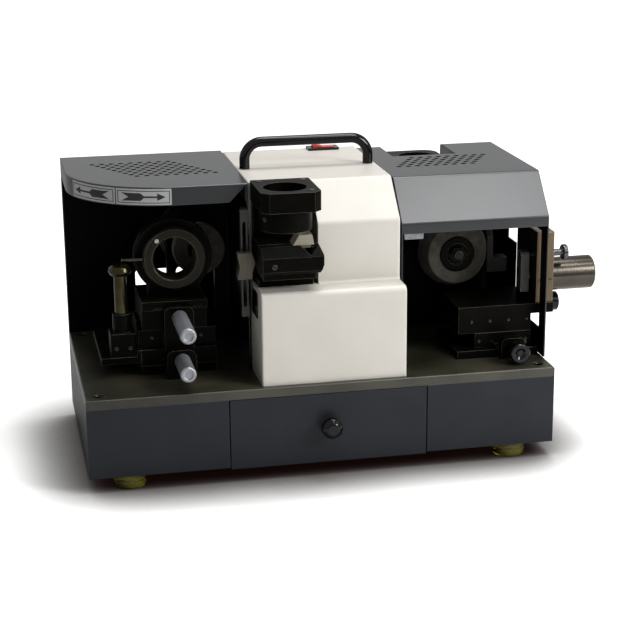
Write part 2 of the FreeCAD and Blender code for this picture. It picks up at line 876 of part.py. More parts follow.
def hood_plan(inset):
    """Plan of the left hood's top: square but for one large rounded front corner, drawn in by inset."""
    return [
        (left_x + inset, back_y - inset),
        (left_x + inset, left_hood_front + inset, left_hood_corner - inset),
        (left_hood_right - inset, left_hood_front + inset),
        (left_hood_right - inset, back_y - inset),
    ]


def left_hood():
    """Sheet hood with a wrapped front lip, open to the left, on a back wall and a right wall."""
    lip_z = left_hood_top - lip_height
    cap = prism(hood_plan(0.0), "z", lip_z, left_hood_top)

    def front_rim(edge):
        """The top edge along the front and the rounded corner."""
        span = edge.BoundBox
        return span.ZMin > left_hood_top - 0.1 and span.YMin < back_y - 1 and span.XMin < left_hood_right - 1

    cap = soften(cap, edge_round, front_rim)
    cap = cut(cap, prism(hood_plan(sheet), "z", lip_z, left_hood_top - sheet))
    bevel = [
        (left_hood_right - lip_height, lip_z),
        (left_hood_right, lip_z),
        (left_hood_right, left_hood_top),
    ]
    cap = cut(cap, prism(bevel, "y", left_hood_front, left_hood_front + sheet))
    back = box((left_x, left_hood_right), (back_y - sheet, back_y), (deck_top, left_hood_top))
    right_x_span = (left_hood_right - sheet, left_hood_right)
    right = box(right_x_span, (left_hood_front + sheet, back_y), (deck_top, left_hood_top))
    window_x = left_x + window_inset
    window = prism(
        block(
            (window_x, window_x + window_width),
            (deck_top + window_rise, deck_top + window_rise + window_height),
            window_corner,
        ),
        "y", back_y - sheet, back_y,
    )
    first = (left_x + left_vent_inset, back_y - left_vent_setback)
    vents = vent_holes(first[0], first[1], vent_columns, left_vent_rows, 1, left_hood_top - sheet, left_hood_top)
    return cut(fuse(cap, back, right), window, vents)


def right_outline(inset):
    """Side view of the right hood: back, flat top, sloping front and a short lip, drawn in by inset."""
    angle = math.atan2(right_slope_drop, right_slope_depth)
    low = inset * math.tan((math.radians(90) - angle) / 2)
    high = inset * math.tan(angle / 2)
    return [
        (right_lip_y + inset, right_slope_z - right_lip_height),
        (right_lip_y + inset, right_slope_z - low, max(3.0 - inset, 0.5)),
        (right_fold_y + high, right_hood_top - inset, max(4.0 - inset, 0.5)),
        (back_y - inset, right_hood_top - inset, max(4.0 - inset, 0.5)),
        (back_y - inset, right_slope_z - right_lip_height),
    ]


def right_hood():
    """Sheet hood with a sloping front, a cut-out with a tongue in its right wall and a notch at the back."""
    x = (right_hood_left, right_hood_right)
    lip_z = right_slope_z - right_lip_height
    cap = prism(right_outline(0.0), "x", x[0], x[1])
    cap = cut(cap, prism(right_outline(sheet), "x", x[0] + sheet, x[1] - sheet))
    walls = [
        box((x[0], x[0] + sheet), (right_lip_y, back_y), (deck_top, lip_z)),
        box((x[1] - sheet, x[1]), (right_lip_y, back_y), (deck_top, lip_z)),
        box(x, (back_y - sheet, back_y), (deck_top, lip_z)),
    ]
    notch_x = (rear_notch_left, rear_notch_right)
    flange_z = (right_hood_top - rear_notch_drop, right_hood_top - sheet / 2)
    flanges = [
        box((notch_x[0] - sheet, notch_x[0]), (rear_notch_front, back_y - sheet / 2), flange_z),
        box((notch_x[1], notch_x[1] + sheet), (rear_notch_front, back_y - sheet / 2), flange_z),
    ]
    hood = fuse(cap, *walls, *flanges)
    notch = box(notch_x, (rear_notch_front, back_y), (right_hood_top - rear_notch_drop, right_hood_top))
    pierce_y = (table_front - sheet - slide_gap, table_front - sheet - slide_gap + wall_cut_length)
    pierce_z = (deck_top + wall_cut_rise, deck_top + wall_cut_rise + wall_cut_height)
    tongue_y = pierce_y[1] - wall_tongue_reach
    tongue_z = (deck_top + wall_tongue_rise, deck_top + wall_tongue_rise + wall_tongue_height)
    pierce = prism([
        (pierce_y[0], pierce_z[0]),
        (pierce_y[1], pierce_z[0]),
        (pierce_y[1], tongue_z[0]),
        (tongue_y, tongue_z[0]),
        (tongue_y, tongue_z[1]),
        (pierce_y[1], tongue_z[1]),
        (pierce_y[1], pierce_z[1]),
        (pierce_y[0], pierce_z[1]),
    ], "x", x[1] - sheet, x[1])
    first = (right_hood_left + right_vent_inset, back_y - right_vent_setback)
    vents = vent_holes(first[0], first[1], vent_columns, right_vent_rows, -1, right_hood_top - sheet, right_hood_top)
    return cut(hood, notch, pierce, vents)


def motor_plate(x, wheel_x, wheel_z, top):
    """Upright plate on a foot, with bevelled top corners, bored for the motor's nose."""
    plate = prism([
        (x[0], deck_top),
        (x[1], deck_top),
        (x[1], top - motor_plate_bevel),
        (x[1] - motor_plate_bevel, top),
        (x[0] + motor_plate_bevel, top),
        (x[0], top - motor_plate_bevel),
    ], "y", plate_front, motor_front)
    foot = box(x, (plate_front, motor_front + motor_plate_foot), (deck_top, deck_top + motor_plate_thickness * 0.75))
    bore = rod("y", (wheel_x, wheel_z), motor_nose_radius + shaft_gap, plate_front, motor_front)
    return cut(fuse(plate, foot), bore)


def left_motor_plate():
    """Motor plate of the end mill side, a portal open below the motor."""
    x = (left_wheel_x - left_plate_reach, left_hood_right - sheet - seam)
    plate = motor_plate(x, left_wheel_x, left_wheel_z, left_wheel_z + motor_radius + motor_plate_margin)
    across = (x[0] + portal_leg, x[1] - portal_inset)
    upright = (deck_top + portal_sill, left_wheel_z - motor_nose_radius - portal_leg)
    return cut(plate, prism(block(across, upright, portal_corner), "y", plate_front, motor_front))


def right_motor_plate():
    """Motor plate of the drill side, with a post that carries the rear setting block."""
    x = (right_hood_left + sheet + seam, right_wheel_x + right_plate_reach)
    top = right_wheel_z + motor_radius + motor_plate_margin
    plate = motor_plate(x, right_wheel_x, right_wheel_z, top)
    post_x_span = (rear_block_left, rear_block_left + rear_post_width)
    post = box(post_x_span, (plate_front, motor_front), (top - motor_plate_bevel, rear_block_z))
    shelf = box(post_x_span, (plate_front, rear_block_front + rear_shelf_depth), (rear_block_z - 6.0, rear_block_z))
    return fuse(plate, post, shelf)


def motor(wheel_x, wheel_z):
    """Round motor with a stepped end bell and a nose through its plate, bored for the spindle."""
    waist = motor_radius - 2.0
    shell = spin([
        (0, nose_front),
        (motor_nose_radius - 1.5, nose_front),
        (motor_nose_radius, nose_front + 1.5),
        (motor_nose_radius, motor_front),
        (waist, motor_front),
        (waist, motor_front + motor_length * 0.16),
        (motor_radius, motor_front + motor_length * 0.16),
        (motor_radius, motor_front + motor_length * 0.72),
        (waist, motor_front + motor_length * 0.76),
        (waist, motor_back - 4.0),
        (waist - 4.0, motor_back),
        (0, motor_back),
    ], "y", (wheel_x, wheel_z))
    bore = rod("y", (wheel_x, wheel_z), spindle_radius + shaft_gap, nose_front, motor_front + spindle_engagement)
    return cut(shell, bore)


def spindle(wheel_x, wheel_z, front, thickness):
    """Shaft with a flange behind the wheel, a hub through it and a threaded end for the nut."""
    hub_front = front + wheel_recess_depth
    back = front + thickness
    return spin([
        (0, front - nut_height),
        (thread_radius - 0.8, front - nut_height),
        (thread_radius, front - nut_height + 0.8),
        (thread_radius, hub_front),
        (wheel_hub_radius, hub_front),
        (wheel_hub_radius, back),
        (spindle_flange_radius, back),
        (spindle_flange_radius, back + spindle_flange_thickness),
        (spindle_radius, back + spindle_flange_thickness),
        (spindle_radius, motor_front + spindle_engagement - 1.0),
        (0, motor_front + spindle_engagement - 1.0),
    ], "y", (wheel_x, wheel_z))


def wheel(wheel_x, wheel_z, front, thickness, radius, flare):
    """Grinding wheel with a flat front ring, a recess for the nut and a rim that flares to the back."""
    inner = wheel_hub_radius + shaft_gap
    back = front + thickness
    return spin([
        (inner, front + wheel_recess_depth),
        (wheel_recess_radius, front + wheel_recess_depth),
        (wheel_recess_radius, front),
        (radius - 1.0, front),
        (radius, front + 1.0),
        (radius + flare, back - 3.0),
        (radius + flare, back - 1.0),
        (radius + flare - 1.0, back),
        (inner, back),
    ], "y", (wheel_x, wheel_z))


def wheel_nut(wheel_x, wheel_z, front):
    """Six-sided nut with a washer face that seats in the wheel's recess."""
    seat = front + wheel_recess_depth - slide_gap / 3
    across = nut_flats / math.sqrt(3)
    turns = [math.radians(60 * step) for step in range(6)]
    corners = [(wheel_x + across * math.cos(t), wheel_z + across * math.sin(t)) for t in turns]
    head = prism(corners, "y", seat - washer_thickness - nut_height, seat - washer_thickness)
    washer = rod("y", (wheel_x, wheel_z), wheel_recess_radius - 0.5, seat - washer_thickness, seat)
    low = seat - washer_thickness - nut_height
    return cut(fuse(head, washer), rod("y", (wheel_x, wheel_z), thread_radius + shaft_gap, low, seat))


def left_bed():
    """Dovetail bed on the deck with a front lug that holds the feed screw."""
    x = (ring_x - slide_width / 2, ring_x + slide_width / 2)
    base = box(x, (slide_front, slide_back), (deck_top, bed_top))
    tongue = prism(dovetail(ring_x, bed_top, dovetail_root, dovetail_height), "y", slide_front, slide_back)
    lug_x = (ring_x - feed_lug_width / 2, ring_x + feed_lug_width / 2)
    sole = box(lug_x, (lug_front, slide_front), (deck_top, bed_top - slide_gap))
    top = feed_screw_z + screw_radius + 6.0
    lug = prism([
        (lug_x[0], deck_top),
        (lug_x[1], deck_top),
        (lug_x[1], top, 7.0),
        (lug_x[0], top, 7.0),
    ], "y", lug_front, lug_back)
    bore = rod("y", (ring_x, feed_screw_z), screw_radius + shaft_gap, lug_front, lug_back)
    return cut(fuse(base, tongue, sole, lug), bore)


def left_feed_slide():
    """Slide that rides the bed's dovetail and takes the feed screw's thread."""
    x = (ring_x - slide_width / 2, ring_x + slide_width / 2)
    low = bed_top + slide_gap
    body = box(x, (slide_front, slide_back), (low, feed_top))
    groove = prism(dovetail(ring_x, low, dovetail_root, dovetail_height, slide_gap), "y", slide_front, slide_back)
    end = slide_front + feed_thread_length + 8.0
    thread = rod("y", (ring_x, feed_screw_z), screw_radius + shaft_gap, slide_front, end)
    return cut(body, groove, thread)


def thimble(back, length):
    """Long straight handle with a bevelled, dished front end."""
    front = back - length
    dish = thimble_radius * 0.62
    return [
        (0, back),
        (thimble_radius * 0.72, back),
        (thimble_radius, back - 5.0),
        (thimble_radius, front + 1.2),
        (thimble_radius - 1.2, front),
        (dish, front),
        (dish - 0.6, front + 1.6),
        (0, front + 1.6),
    ]


def left_feed_thimble():
    """Feed handle with its screw through the lug into the slide."""
    handle = spin(thimble(lug_front - slide_gap, feed_thimble_length), "y", (ring_x, feed_screw_z))
    screw = rod("y", (ring_x, feed_screw_z), screw_radius, lug_front - 1.0, slide_front + feed_thread_length)
    return fuse(handle, screw)


def post_plate():
    """Side shelf for the stop post, with a leg up the side of the feed slide."""
    slide_left = ring_x - slide_width / 2
    x = (slide_left - post_plate_reach, slide_left)
    y = (slide_front, slide_front + post_plate_length)
    shelf = box(x, y, (post_plate_z, post_plate_top))
    leg = box((slide_left - 4.0, slide_left), (y[0], slide_back), (post_plate_z, feed_top))
    return fuse(shelf, leg)


def cross_base():
    """Block on the feed slide with a cross dovetail and a front lug for the pinion shaft."""
    x = (ring_x - slide_width / 2 - 2.0, ring_x + slide_width / 2)
    body = box(x, (saddle_front, saddle_back), (feed_top, cross_top))
    middle = (saddle_front + saddle_back) / 2
    tongue = prism(dovetail(middle, cross_top, dovetail_root, dovetail_height), "x", x[0], x[1])
    lug_x = (ring_x - feed_lug_width / 2, ring_x + feed_lug_width / 2)
    lug_back = saddle_front - pinion_width - 2.0
    lug_y = (lug_back - pinion_lug_thickness, lug_back)
    sole = box(lug_x, (lug_y[0], saddle_front), (feed_top + slide_gap, cross_top - 4.0))
    top = pinion_z + screw_radius + 6.0
    lug = prism([
        (lug_x[0], feed_top + slide_gap),
        (lug_x[1], feed_top + slide_gap),
        (lug_x[1], top, 6.0),
        (lug_x[0], top, 6.0),
    ], "y", lug_y[0], lug_y[1])
    bore = rod("y", (ring_x, pinion_z), screw_radius + shaft_gap, lug_y[0], lug_y[1])
    return cut(fuse(body, tongue, sole, lug), bore)


def cross_slide():
    """Saddle on the cross dovetail, with its back edge cut away."""
    low = cross_top + slide_gap
    body = prism([
        (saddle_front, low),
        (saddle_back, low),
        (saddle_back, saddle_top - saddle_bevel),
        (saddle_back - saddle_bevel, saddle_top),
        (saddle_front, saddle_top),
    ], "x", saddle_left, saddle_right)
    middle = (saddle_front + saddle_back) / 2
    groove = prism(dovetail(middle, low, dovetail_root, dovetail_height, slide_gap), "x", saddle_left, saddle_right)
    return cut(body, groove)


def cross_rack():
    """Rack along the saddle's front, teeth down, in step with the pinion."""
    pitch = math.pi * gear_module
    teeth = int(saddle_width / pitch / 2)
    lean = math.tan(math.radians(20))
    half_gap = pitch / 4 + gear_backlash / 2
    depth = 2.25 * gear_module
    line = rack_bottom + gear_module
    corners = [(saddle_left, saddle_top), (saddle_left, rack_bottom)]
    for step in range(-teeth + 2, teeth):
        x = ring_x + step * pitch
        mouth = half_gap + (line - rack_bottom) * lean
        floor = half_gap - (depth - gear_module) * lean
        if saddle_left + pitch < x < saddle_right - pitch:
            corners.append((x - mouth, rack_bottom))
            corners.append((x - floor, rack_bottom + depth))
            corners.append((x + floor, rack_bottom + depth))
            corners.append((x + mouth, rack_bottom))
    corners.append((saddle_right, rack_bottom))
    corners.append((saddle_right, saddle_top))
    return prism(corners, "y", saddle_front - pinion_width - 1.0, saddle_front)


def cross_pinion():
    """Small gear under the rack on a shaft through the lug into the handle."""
    points = []
    root = pinion_pitch - 1.25 * gear_module
    tip = pinion_pitch + 0.95 * gear_module
    step = 2 * math.pi / pinion_teeth
    widths = ((root, 0.33), (pinion_pitch, 0.235), (tip, 0.1))
    for tooth in range(pinion_teeth):
        middle = math.pi / 2 + tooth * step
        for radius, share in widths:
            angle = middle - share * step
            points.append((ring_x + radius * math.cos(angle), pinion_z + radius * math.sin(angle)))
        for radius, share in reversed(widths):
            angle = middle + share * step
            points.append((ring_x + radius * math.cos(angle), pinion_z + radius * math.sin(angle)))
    gear = prism(points, "y", saddle_front - pinion_width - 1.0, saddle_front - 1.0)
    lug_front_y = saddle_front - pinion_width - 2.0 - pinion_lug_thickness
    shaft = rod("y", (ring_x, pinion_z), screw_radius, lug_front_y - thimble_grip, saddle_front - 1.0)
    return fuse(gear, shaft)


def cross_handle():
    """Cross handle, socketed on the pinion shaft."""
    back = saddle_front - pinion_width - 2.0 - pinion_lug_thickness - slide_gap
    handle = spin(thimble(back, cross_thimble_length), "y", (ring_x, pinion_z))
    socket = rod("y", (ring_x, pinion_z), screw_radius + shaft_gap, back - thimble_grip - 1.0, back)
    return cut(handle, socket)


def seat_bracket():
    """Round seat housing on a pedestal, bored for the chuck ring."""
    disc = spin([
        (0, seat_front),
        (seat_radius - 1.2, seat_front),
        (seat_radius, seat_front + 1.2),
        (seat_radius, seat_back),
        (0, seat_back),
    ], "y", (ring_x, ring_z))
    half = seat_pedestal / 2
    pedestal = prism([
        (ring_x - half, saddle_top),
        (ring_x + half, saddle_top),
        (ring_x + half - 4.0, ring_z - seat_radius / 3),
        (ring_x - half + 4.0, ring_z - seat_radius / 3),
    ], "y", seat_front, seat_back)
    bore = rod("y", (ring_x, ring_z), ring_neck_radius + shaft_gap, seat_front, seat_back)
    trim = box(
        (ring_x - 2 * seat_radius, ring_x + 2 * seat_radius),
        (seat_front, seat_back),
        (saddle_top - 2 * seat_radius, saddle_top),
    )
    return cut(fuse(disc, pedestal), bore, trim)


def chuck_ring():
    """Flanged ring that turns in the seat and takes the tool chuck from the front."""
    ring = spin([
        (chuck_radius, ring_front + 1.0),
        (chuck_radius + 1.0, ring_front),
        (ring_radius - 1.5, ring_front),
        (ring_radius, ring_front + 1.5),
        (ring_radius, ring_back),
        (ring_neck_radius, ring_back),
        (ring_neck_radius, seat_back + 2.0),
        (chuck_radius, seat_back + 2.0),
    ], "y", (ring_x, ring_z))
    socket_x = ring_x - ring_radius + stop_rod_grip
    middle = (ring_front + ring_back) / 2
    return cut(ring, rod("x", (middle, ring_z), stop_rod_radius + shaft_gap, ring_x - ring_radius - 1.0, socket_x))


def ring_stop_rod():
    """Rod set in the ring's rim that rests on the stop post."""
    middle = (ring_front + ring_back) / 2
    tip = post_x + stop_rod_inset
    return spin([
        (0, tip),
        (stop_rod_radius - 0.5, tip),
        (stop_rod_radius, tip + 0.5),
        (stop_rod_radius, ring_x - ring_radius + stop_rod_grip - 0.2),
        (0, ring_x - ring_radius + stop_rod_grip - 0.2),
    ], "x", (middle, ring_z))


def post_block():
    """Block and split collar that hold the stop post."""
    half = post_block_size / 2
    x = (post_x - half, post_x + half)
    y = (post_y - half, post_y + half)
    low = post_plate_top
    body = prism(block(x, y, 2.0), "z", low, low + post_block_height)
    step = low + post_block_height
    collar = rod("z", (post_x, post_y), post_collar_radius, step, step + post_collar_height)
    bore = rod("z", (post_x, post_y), post_radius + shaft_gap, low + 4.0, step + post_collar_height)
    return cut(fuse(body, collar), bore)


def stop_post():
    """Round post with a domed cap that stands under the ring's stop rod."""
    low = post_plate_top + post_block_height + post_collar_height - post_engagement
    rim = post_cap_top - post_cap_height
    return spin([
        (0, low),
        (post_radius - 0.8, low),
        (post_radius, low + 0.8),
        (post_radius, rim),
        (post_cap_radius - 2.0, rim),
        (post_cap_radius, rim + 3.5, 2.0),
        (post_cap_radius - 1.5, post_cap_top - 1.6, 2.0),
        (post_cap_radius * 0.6, post_cap_top),
        (0, post_cap_top),
    ], "z", (post_x, post_y))


def setting_bracket():
    """Upright on the cover's shelf that carries the setting head and jaw."""
    x = (head_left + 1.0, head_right - 3.0)
    back = box(x, (bracket_front, head_back), (shelf_z, head_bottom))
    foot = box(x, (bracket_front - setting_foot_length, head_back), (shelf_z, shelf_z + setting_foot_height))
    return fuse(back, foot)


def setting_head():
    """Square head with cut corners and a round sleeve below, bored for the tool chuck."""
    plan = [
        (head_left, head_back, 1.5),
        (head_left, head_front + setting_chamfer),
        (head_left + setting_chamfer, head_front),
        (head_right - setting_chamfer, head_front),
        (head_right, head_front + setting_chamfer),
        (head_right, head_back, 1.5),
    ]
    plate = prism(plan, "z", head_bottom, head_top)
    sleeve = rod("z", (setting_x, setting_y), sleeve_radius, sleeve_bottom, head_bottom)
    bore = rod("z", (setting_x, setting_y), chuck_radius, sleeve_bottom, head_top)
    return cut(fuse(plate, sleeve), bore)


def setting_jaw():
    """Jaw under the sleeve with a sloping nose, a vee for the tool's tip and a cross groove for the gauge."""
    x = (head_left, head_right + 1.5)
    front = bracket_front - jaw_depth
    body = prism([
        (x[0], jaw_z),
        (x[1] - 3.0, jaw_z),
        (x[1], jaw_z + 8.0),
        (x[1], jaw_top - 8.0),
        (x[1] - 3.0, jaw_top),
        (x[0], jaw_top),
    ], "y", front, bracket_front)
    sole = box((x[0] + 2.0, x[1] - 6.0), (front + 10.0, bracket_front), (jaw_z - 7.0, jaw_z))
    nose = prism([(front, jaw_top - jaw_bevel), (front + jaw_bevel, jaw_top), (front, jaw_top)], "x", x[0], x[1])
    heel = prism([(front, jaw_z), (front + jaw_heel, jaw_z), (front, jaw_z + jaw_heel)], "x", x[0], x[1])
    vee_x = x[1] - 3.0 - jaw_groove_half
    vee = prism([
        (vee_x - jaw_groove_half, jaw_top),
        (vee_x, jaw_top - jaw_groove_depth),
        (vee_x + jaw_groove_half, jaw_top),
    ], "y", front, bracket_front)
    groove_y = front + jaw_slot_setback
    groove = box(
        x,
        (groove_y - wedge_tongue / 2 - slide_gap, groove_y + wedge_tongue / 2 + slide_gap),
        (jaw_top - wedge_tongue - slide_gap, jaw_top),
    )
    return cut(fuse(body, sole), nose, heel, vee, groove)


def gauge_wedge():
    """Gauge with a sloping left side on the jaw, with a tongue in its cross groove."""
    front = bracket_front - jaw_depth
    groove_y = front + jaw_slot_setback
    low = jaw_top + slide_gap
    right = head_right - wedge_inset
    x = (right - wedge_length, right)
    body = prism([
        (x[0], low),
        (x[1], low),
        (x[1] - wedge_lean / 3, low + wedge_height),
        (x[0] + wedge_lean, low + wedge_height),
    ], "y", front + wedge_setback, front + wedge_setback + wedge_depth)
    tongue = box(
        (x[0], x[1] - 2.0),
        (groove_y - wedge_tongue / 2, groove_y + wedge_tongue / 2),
        (jaw_top - wedge_tongue, low),
    )
    return fuse(body, tongue)


def stop_bar():
    """Slotted upright bar beside the setting fixture, on two lugs."""
    x = (stop_bar_left, stop_bar_right)
    z = (stop_bar_z, stop_bar_z + stop_bar_length)
    bar = box(x, (stop_bar_front, stop_bar_back), z)
    slot = prism(
        block(
            (stop_bar_x - stop_slot_width / 2, stop_bar_x + stop_slot_width / 2),
            (z[0] + stop_lug_height, z[1] - stop_lug_height),
            stop_slot_width * 0.49,
        ),
        "y", stop_bar_front, stop_bar_back,
    )
    wall = left_hood_right - sheet
    lugs = []
    for low in (z[0], z[1] - stop_lug_height):
        lugs.append(box((stop_bar_x, wall), (stop_bar_front, stop_bar_back + 14.0), (low, low + stop_lug_height)))
    return cut(fuse(bar, *lugs), slot)


def stop_block():
    """Pointed block that slides up the bar, with a stem through the slot to a clamp plate behind."""
    right = stop_bar_x + stop_block_side - stop_block_tip
    left = stop_bar_x - stop_block_side
    z = (stop_block_z, stop_block_z + stop_block_height)
    middle = z[0] + stop_block_height * 0.62
    body = prism([
        (left, z[0], 1.0),
        (right, z[0], 1.0),
        (right, middle - 9.0),
        (right + stop_block_tip, middle),
        (right, z[1], 1.0),
        (left, z[1], 1.0),
        (left + 2.6, middle - 3.0),
    ], "y", stop_bar_front - slide_gap - stop_block_depth, stop_bar_front - slide_gap)
    centre = z[0] + stop_block_height / 2
    stem = rod("y", (stop_bar_x, centre), stop_stem_radius, stop_bar_front - 1.0, stop_bar_back + 1.0)
    plate = box(
        (stop_bar_left, stop_bar_right - 0.5),
        (stop_bar_back + slide_gap, stop_bar_back + slide_gap + 3.0),
        (centre - 5.0, centre + 5.0),
    )
    return fuse(body, stem, plate)


def rear_setting_block():
    """Block in the right hood's rear notch, bored for the drill chuck."""
    x = (rear_block_left, rear_block_left + rear_block_length)
    y = (rear_block_front, rear_block_front + rear_block_depth)
    plan = [(x[0], y[0]), (x[1], y[0], 2.0), (x[1], y[1], 14.0), (x[0], y[1], 2.0)]
    plate = prism(plan, "z", rear_block_z, rear_block_top)
    return cut(plate, rod("z", (rear_bore_x, rear_bore_y), rear_bore_radius, rear_block_z, rear_block_top))


def right_bed():
    """Dovetail bed of the drill side, grooved for the feed screw, with a front lug."""
    x = (right_bed_right - right_bed_length, right_bed_right)
    y = (right_bed_front, right_bed_front + right_bed_depth)
    base = box(x, y, (deck_top, right_bed_top))
    tongue = prism(dovetail(feed_line, right_bed_top, dovetail_root, dovetail_height), "y", y[0], y[1])
    half = nut_lug_half + 1.5
    channel = box((feed_line - half, feed_line + half), y, (deck_top + 3.0, right_bed_top + dovetail_height))
    lug_x = (feed_line - right_lug_width / 2, feed_line + right_lug_width / 2)
    lug_y = (y[0] - right_lug_thickness, y[0])
    top = deck_top + right_lug_height
    lug = prism([
        (lug_x[0], deck_top),
        (lug_x[1], deck_top),
        (lug_x[1], top, 6.0),
        (lug_x[0], top, 6.0),
    ], "y", lug_y[0], lug_y[1])
    bore = rod("y", (feed_line, right_screw_z), screw_radius + shaft_gap, lug_y[0], lug_y[1])
    return cut(fuse(cut(fuse(base, tongue), channel), lug), bore)


def right_feed_slide():
    """Feed slide with a nut lug below, a cross dovetail on top and a nut for the table screw."""
    x = (right_feed_left, right_feed_right)
    y = (right_feed_front, right_feed_back)
    low = right_bed_top + slide_gap
    body = box(x, y, (low, right_feed_top))
    groove = prism(dovetail(feed_line, low, dovetail_root, dovetail_height, slide_gap), "y", y[0], y[1])
    lug_y = (y[0] + nut_lug_setback, y[0] + nut_lug_setback + nut_lug_length)
    nut = box(
        (feed_line - nut_lug_half, feed_line + nut_lug_half),
        lug_y,
        (right_screw_z - screw_radius - 2.0, low + dovetail_height + 1.0),
    )
    nut_bore = rod("y", (feed_line, right_screw_z), screw_radius + shaft_gap, lug_y[0], lug_y[1])
    relief = rod("y", (feed_line, right_screw_z), screw_radius + 2 * slide_gap, y[0], y[1])
    tongue = prism(dovetail(table_line, right_feed_top, dovetail_root, dovetail_height), "x", x[0], x[1])
    middle = (x[0] + x[1]) / 2
    riser_x = (middle - nut_lug_length / 2, middle + nut_lug_length / 2)
    riser = box(
        riser_x,
        (table_line - nut_lug_half, table_line + nut_lug_half),
        (right_feed_top + dovetail_height, table_screw_z + screw_radius + 2.0),
    )
    riser_bore = rod("x", (table_line, table_screw_z), screw_radius + shaft_gap, riser_x[0], riser_x[1])
    return cut(fuse(cut(body, groove, relief), nut, tongue, riser), nut_bore, riser_bore)


def right_feed_screw():
    """Feed screw from the knob through the lug and the slide's nut."""
    end = right_feed_front + nut_lug_setback + nut_lug_length + nut_lug_setback
    start = right_bed_front - right_lug_thickness - slide_gap - feed_knob_reach
    return rod("y", (feed_line, right_screw_z), screw_radius, start, end)


def knob_profile(face, length, hub_radius, hub_end, side):
    """Half section of a straight hand knob on a thin hub; side is the way that the face looks."""
    back = face - side * length
    return [
        (screw_radius + shaft_gap, face - side * 2.0),
        (feed_knob_radius - 4.0, face - side * 0.2),
        (feed_knob_radius - 1.0, face),
        (feed_knob_radius, face - side * 1.0),
        (feed_knob_radius, back + side * 1.0),
        (feed_knob_radius - 1.0, back),
        (hub_radius, back),
        (hub_radius, hub_end),
        (screw_radius + shaft_gap, hub_end),
    ]


def right_feed_knob():
    """Round knob of the drill side's feed screw."""
    hub_end = right_bed_front - right_lug_thickness - slide_gap
    face = hub_end - feed_knob_reach - 2.0
    return spin(knob_profile(face, feed_knob_length, feed_knob_hub, hub_end, -1), "y", (feed_line, right_screw_z))


def cross_table():
    """Table on the cross dovetail: a long top, a grooved skirt and a boss that houses its screw."""
    y = (table_front, table_back)
    top_low = table_top - table_top_height
    top = box((table_left, table_right), y, (top_low, table_top))
    skirt = box((table_left, table_left + table_skirt), y, (table_z, top_low))
    groove = prism(
        dovetail(table_line, table_z, dovetail_root, dovetail_height, slide_gap),
        "x", table_left, table_left + table_skirt,
    )
    half = nut_lug_half + 1.5
    channel = box(
        (table_left + table_cheek, table_left + table_skirt),
        (table_line - half, table_line + half),
        (table_z + dovetail_height, table_screw_z + screw_radius + 3.5),
    )
    boss = box(
        (table_left + table_skirt, table_right),
        (table_line - table_boss_half, table_line + table_boss_half),
        (table_screw_z - table_boss_half, top_low),
    )
    screw = rod("x", (table_line, table_screw_z), screw_radius + shaft_gap, table_left + table_cheek, table_right)
    return cut(fuse(cut(fuse(top, skirt), groove, channel), boss), screw)


def table_screw():
    """Table screw from its knob through the end block and the nut on the feed slide."""
    end = table_right + slide_gap + table_knob_hub + table_knob_length - 2.0
    return rod("x", (table_line, table_screw_z), screw_radius, table_left + table_cheek + sheet, end)


def table_knob():
    """Round knob at the right end of the table screw."""
    hub_end = table_right + slide_gap
    face = hub_end + table_knob_hub + table_knob_length
    return spin(knob_profile(face, table_knob_length, feed_knob_hub, hub_end, 1), "x", (table_line, table_screw_z))


def chuck_plates():
    """Two upright plates, inside and outside the hood's wall, bored for the tube and the latch shaft."""
    plates = []
    y = (chuck_plate_front, chuck_plate_front + chuck_plate_depth)
    z = (table_top, table_top + chuck_plate_height)
    for low in (plate_inner_x, plate_outer_x):
        x = (low, low + chuck_plate_thickness)
        outline = [
            (y[0], z[0]),
            (y[1], z[0]),
            (y[1], z[1], chuck_plate_corner),
            (y[0], z[1], 1.0),
        ]
        plate = prism(outline, "x", x[0], x[1])
        tube = rod("x", (tube_y, tube_z), tube_radius + shaft_gap, x[0], x[1])
        shaft = rod("x", (latch_y, latch_z), latch_shaft_radius + shaft_gap, x[0], x[1])
        plates.append(cut(plate, tube, shaft))
    return Part.makeCompound(plates)


def chuck_tube():
    """Steel tube through both plates that guides the drill chuck."""
    return spin([
        (tube_bore_radius, plate_inner_x),
        (tube_radius, plate_inner_x),
        (tube_radius, tube_end - 1.5),
        (tube_radius - 1.5, tube_end),
        (tube_bore_radius + 1.0, tube_end),
        (tube_bore_radius, tube_end - 1.0),
    ], "x", (tube_y, tube_z))


def latch_knob():
    """Disc knob outside the plates on a shaft that carries the lever inside."""
    disc_left = plate_outer_x + chuck_plate_thickness + latch_knob_reach
    disc_right = disc_left + latch_knob_length
    collar = plate_outer_x + chuck_plate_thickness + slide_gap
    return spin([
        (0, lever_left),
        (latch_shaft_radius - 0.6, lever_left),
        (latch_shaft_radius, lever_left + 0.6),
        (latch_shaft_radius, collar),
        (latch_shaft_radius + 1.6, collar),
        (latch_shaft_radius + 1.6, collar + 4.0),
        (latch_shaft_radius, collar + 4.0),
        (latch_shaft_radius, disc_left),
        (latch_knob_radius - 0.8, disc_left),
        (latch_knob_radius, disc_left + 0.8),
        (latch_knob_radius, disc_right - 0.8),
        (latch_knob_radius - 0.8, disc_right),
        (0, disc_right),
    ], "x", (latch_y, latch_z))


def latch_lever():
    """Rounded lever hanging on the latch shaft, bored for the ball's stem."""
    half = latch_lever_width / 2
    outline = [
        (latch_y - half, latch_z - latch_lever_length),
        (latch_y + half, latch_z - latch_lever_length),
        (latch_y + half, latch_z + half, half * 0.98),
        (latch_y - half, latch_z + half, half * 0.98),
    ]
    lever = prism(outline, "x", lever_left, lever_right)
    shaft = rod("x", (latch_y, latch_z), latch_shaft_radius + shaft_gap, lever_left, lever_right)
    ball = (latch_y, latch_z - latch_ball_drop)
    stem = rod("x", ball, latch_ball_radius / 2 + shaft_gap, lever_right - 5.0, lever_right)
    return cut(lever, shaft, stem)


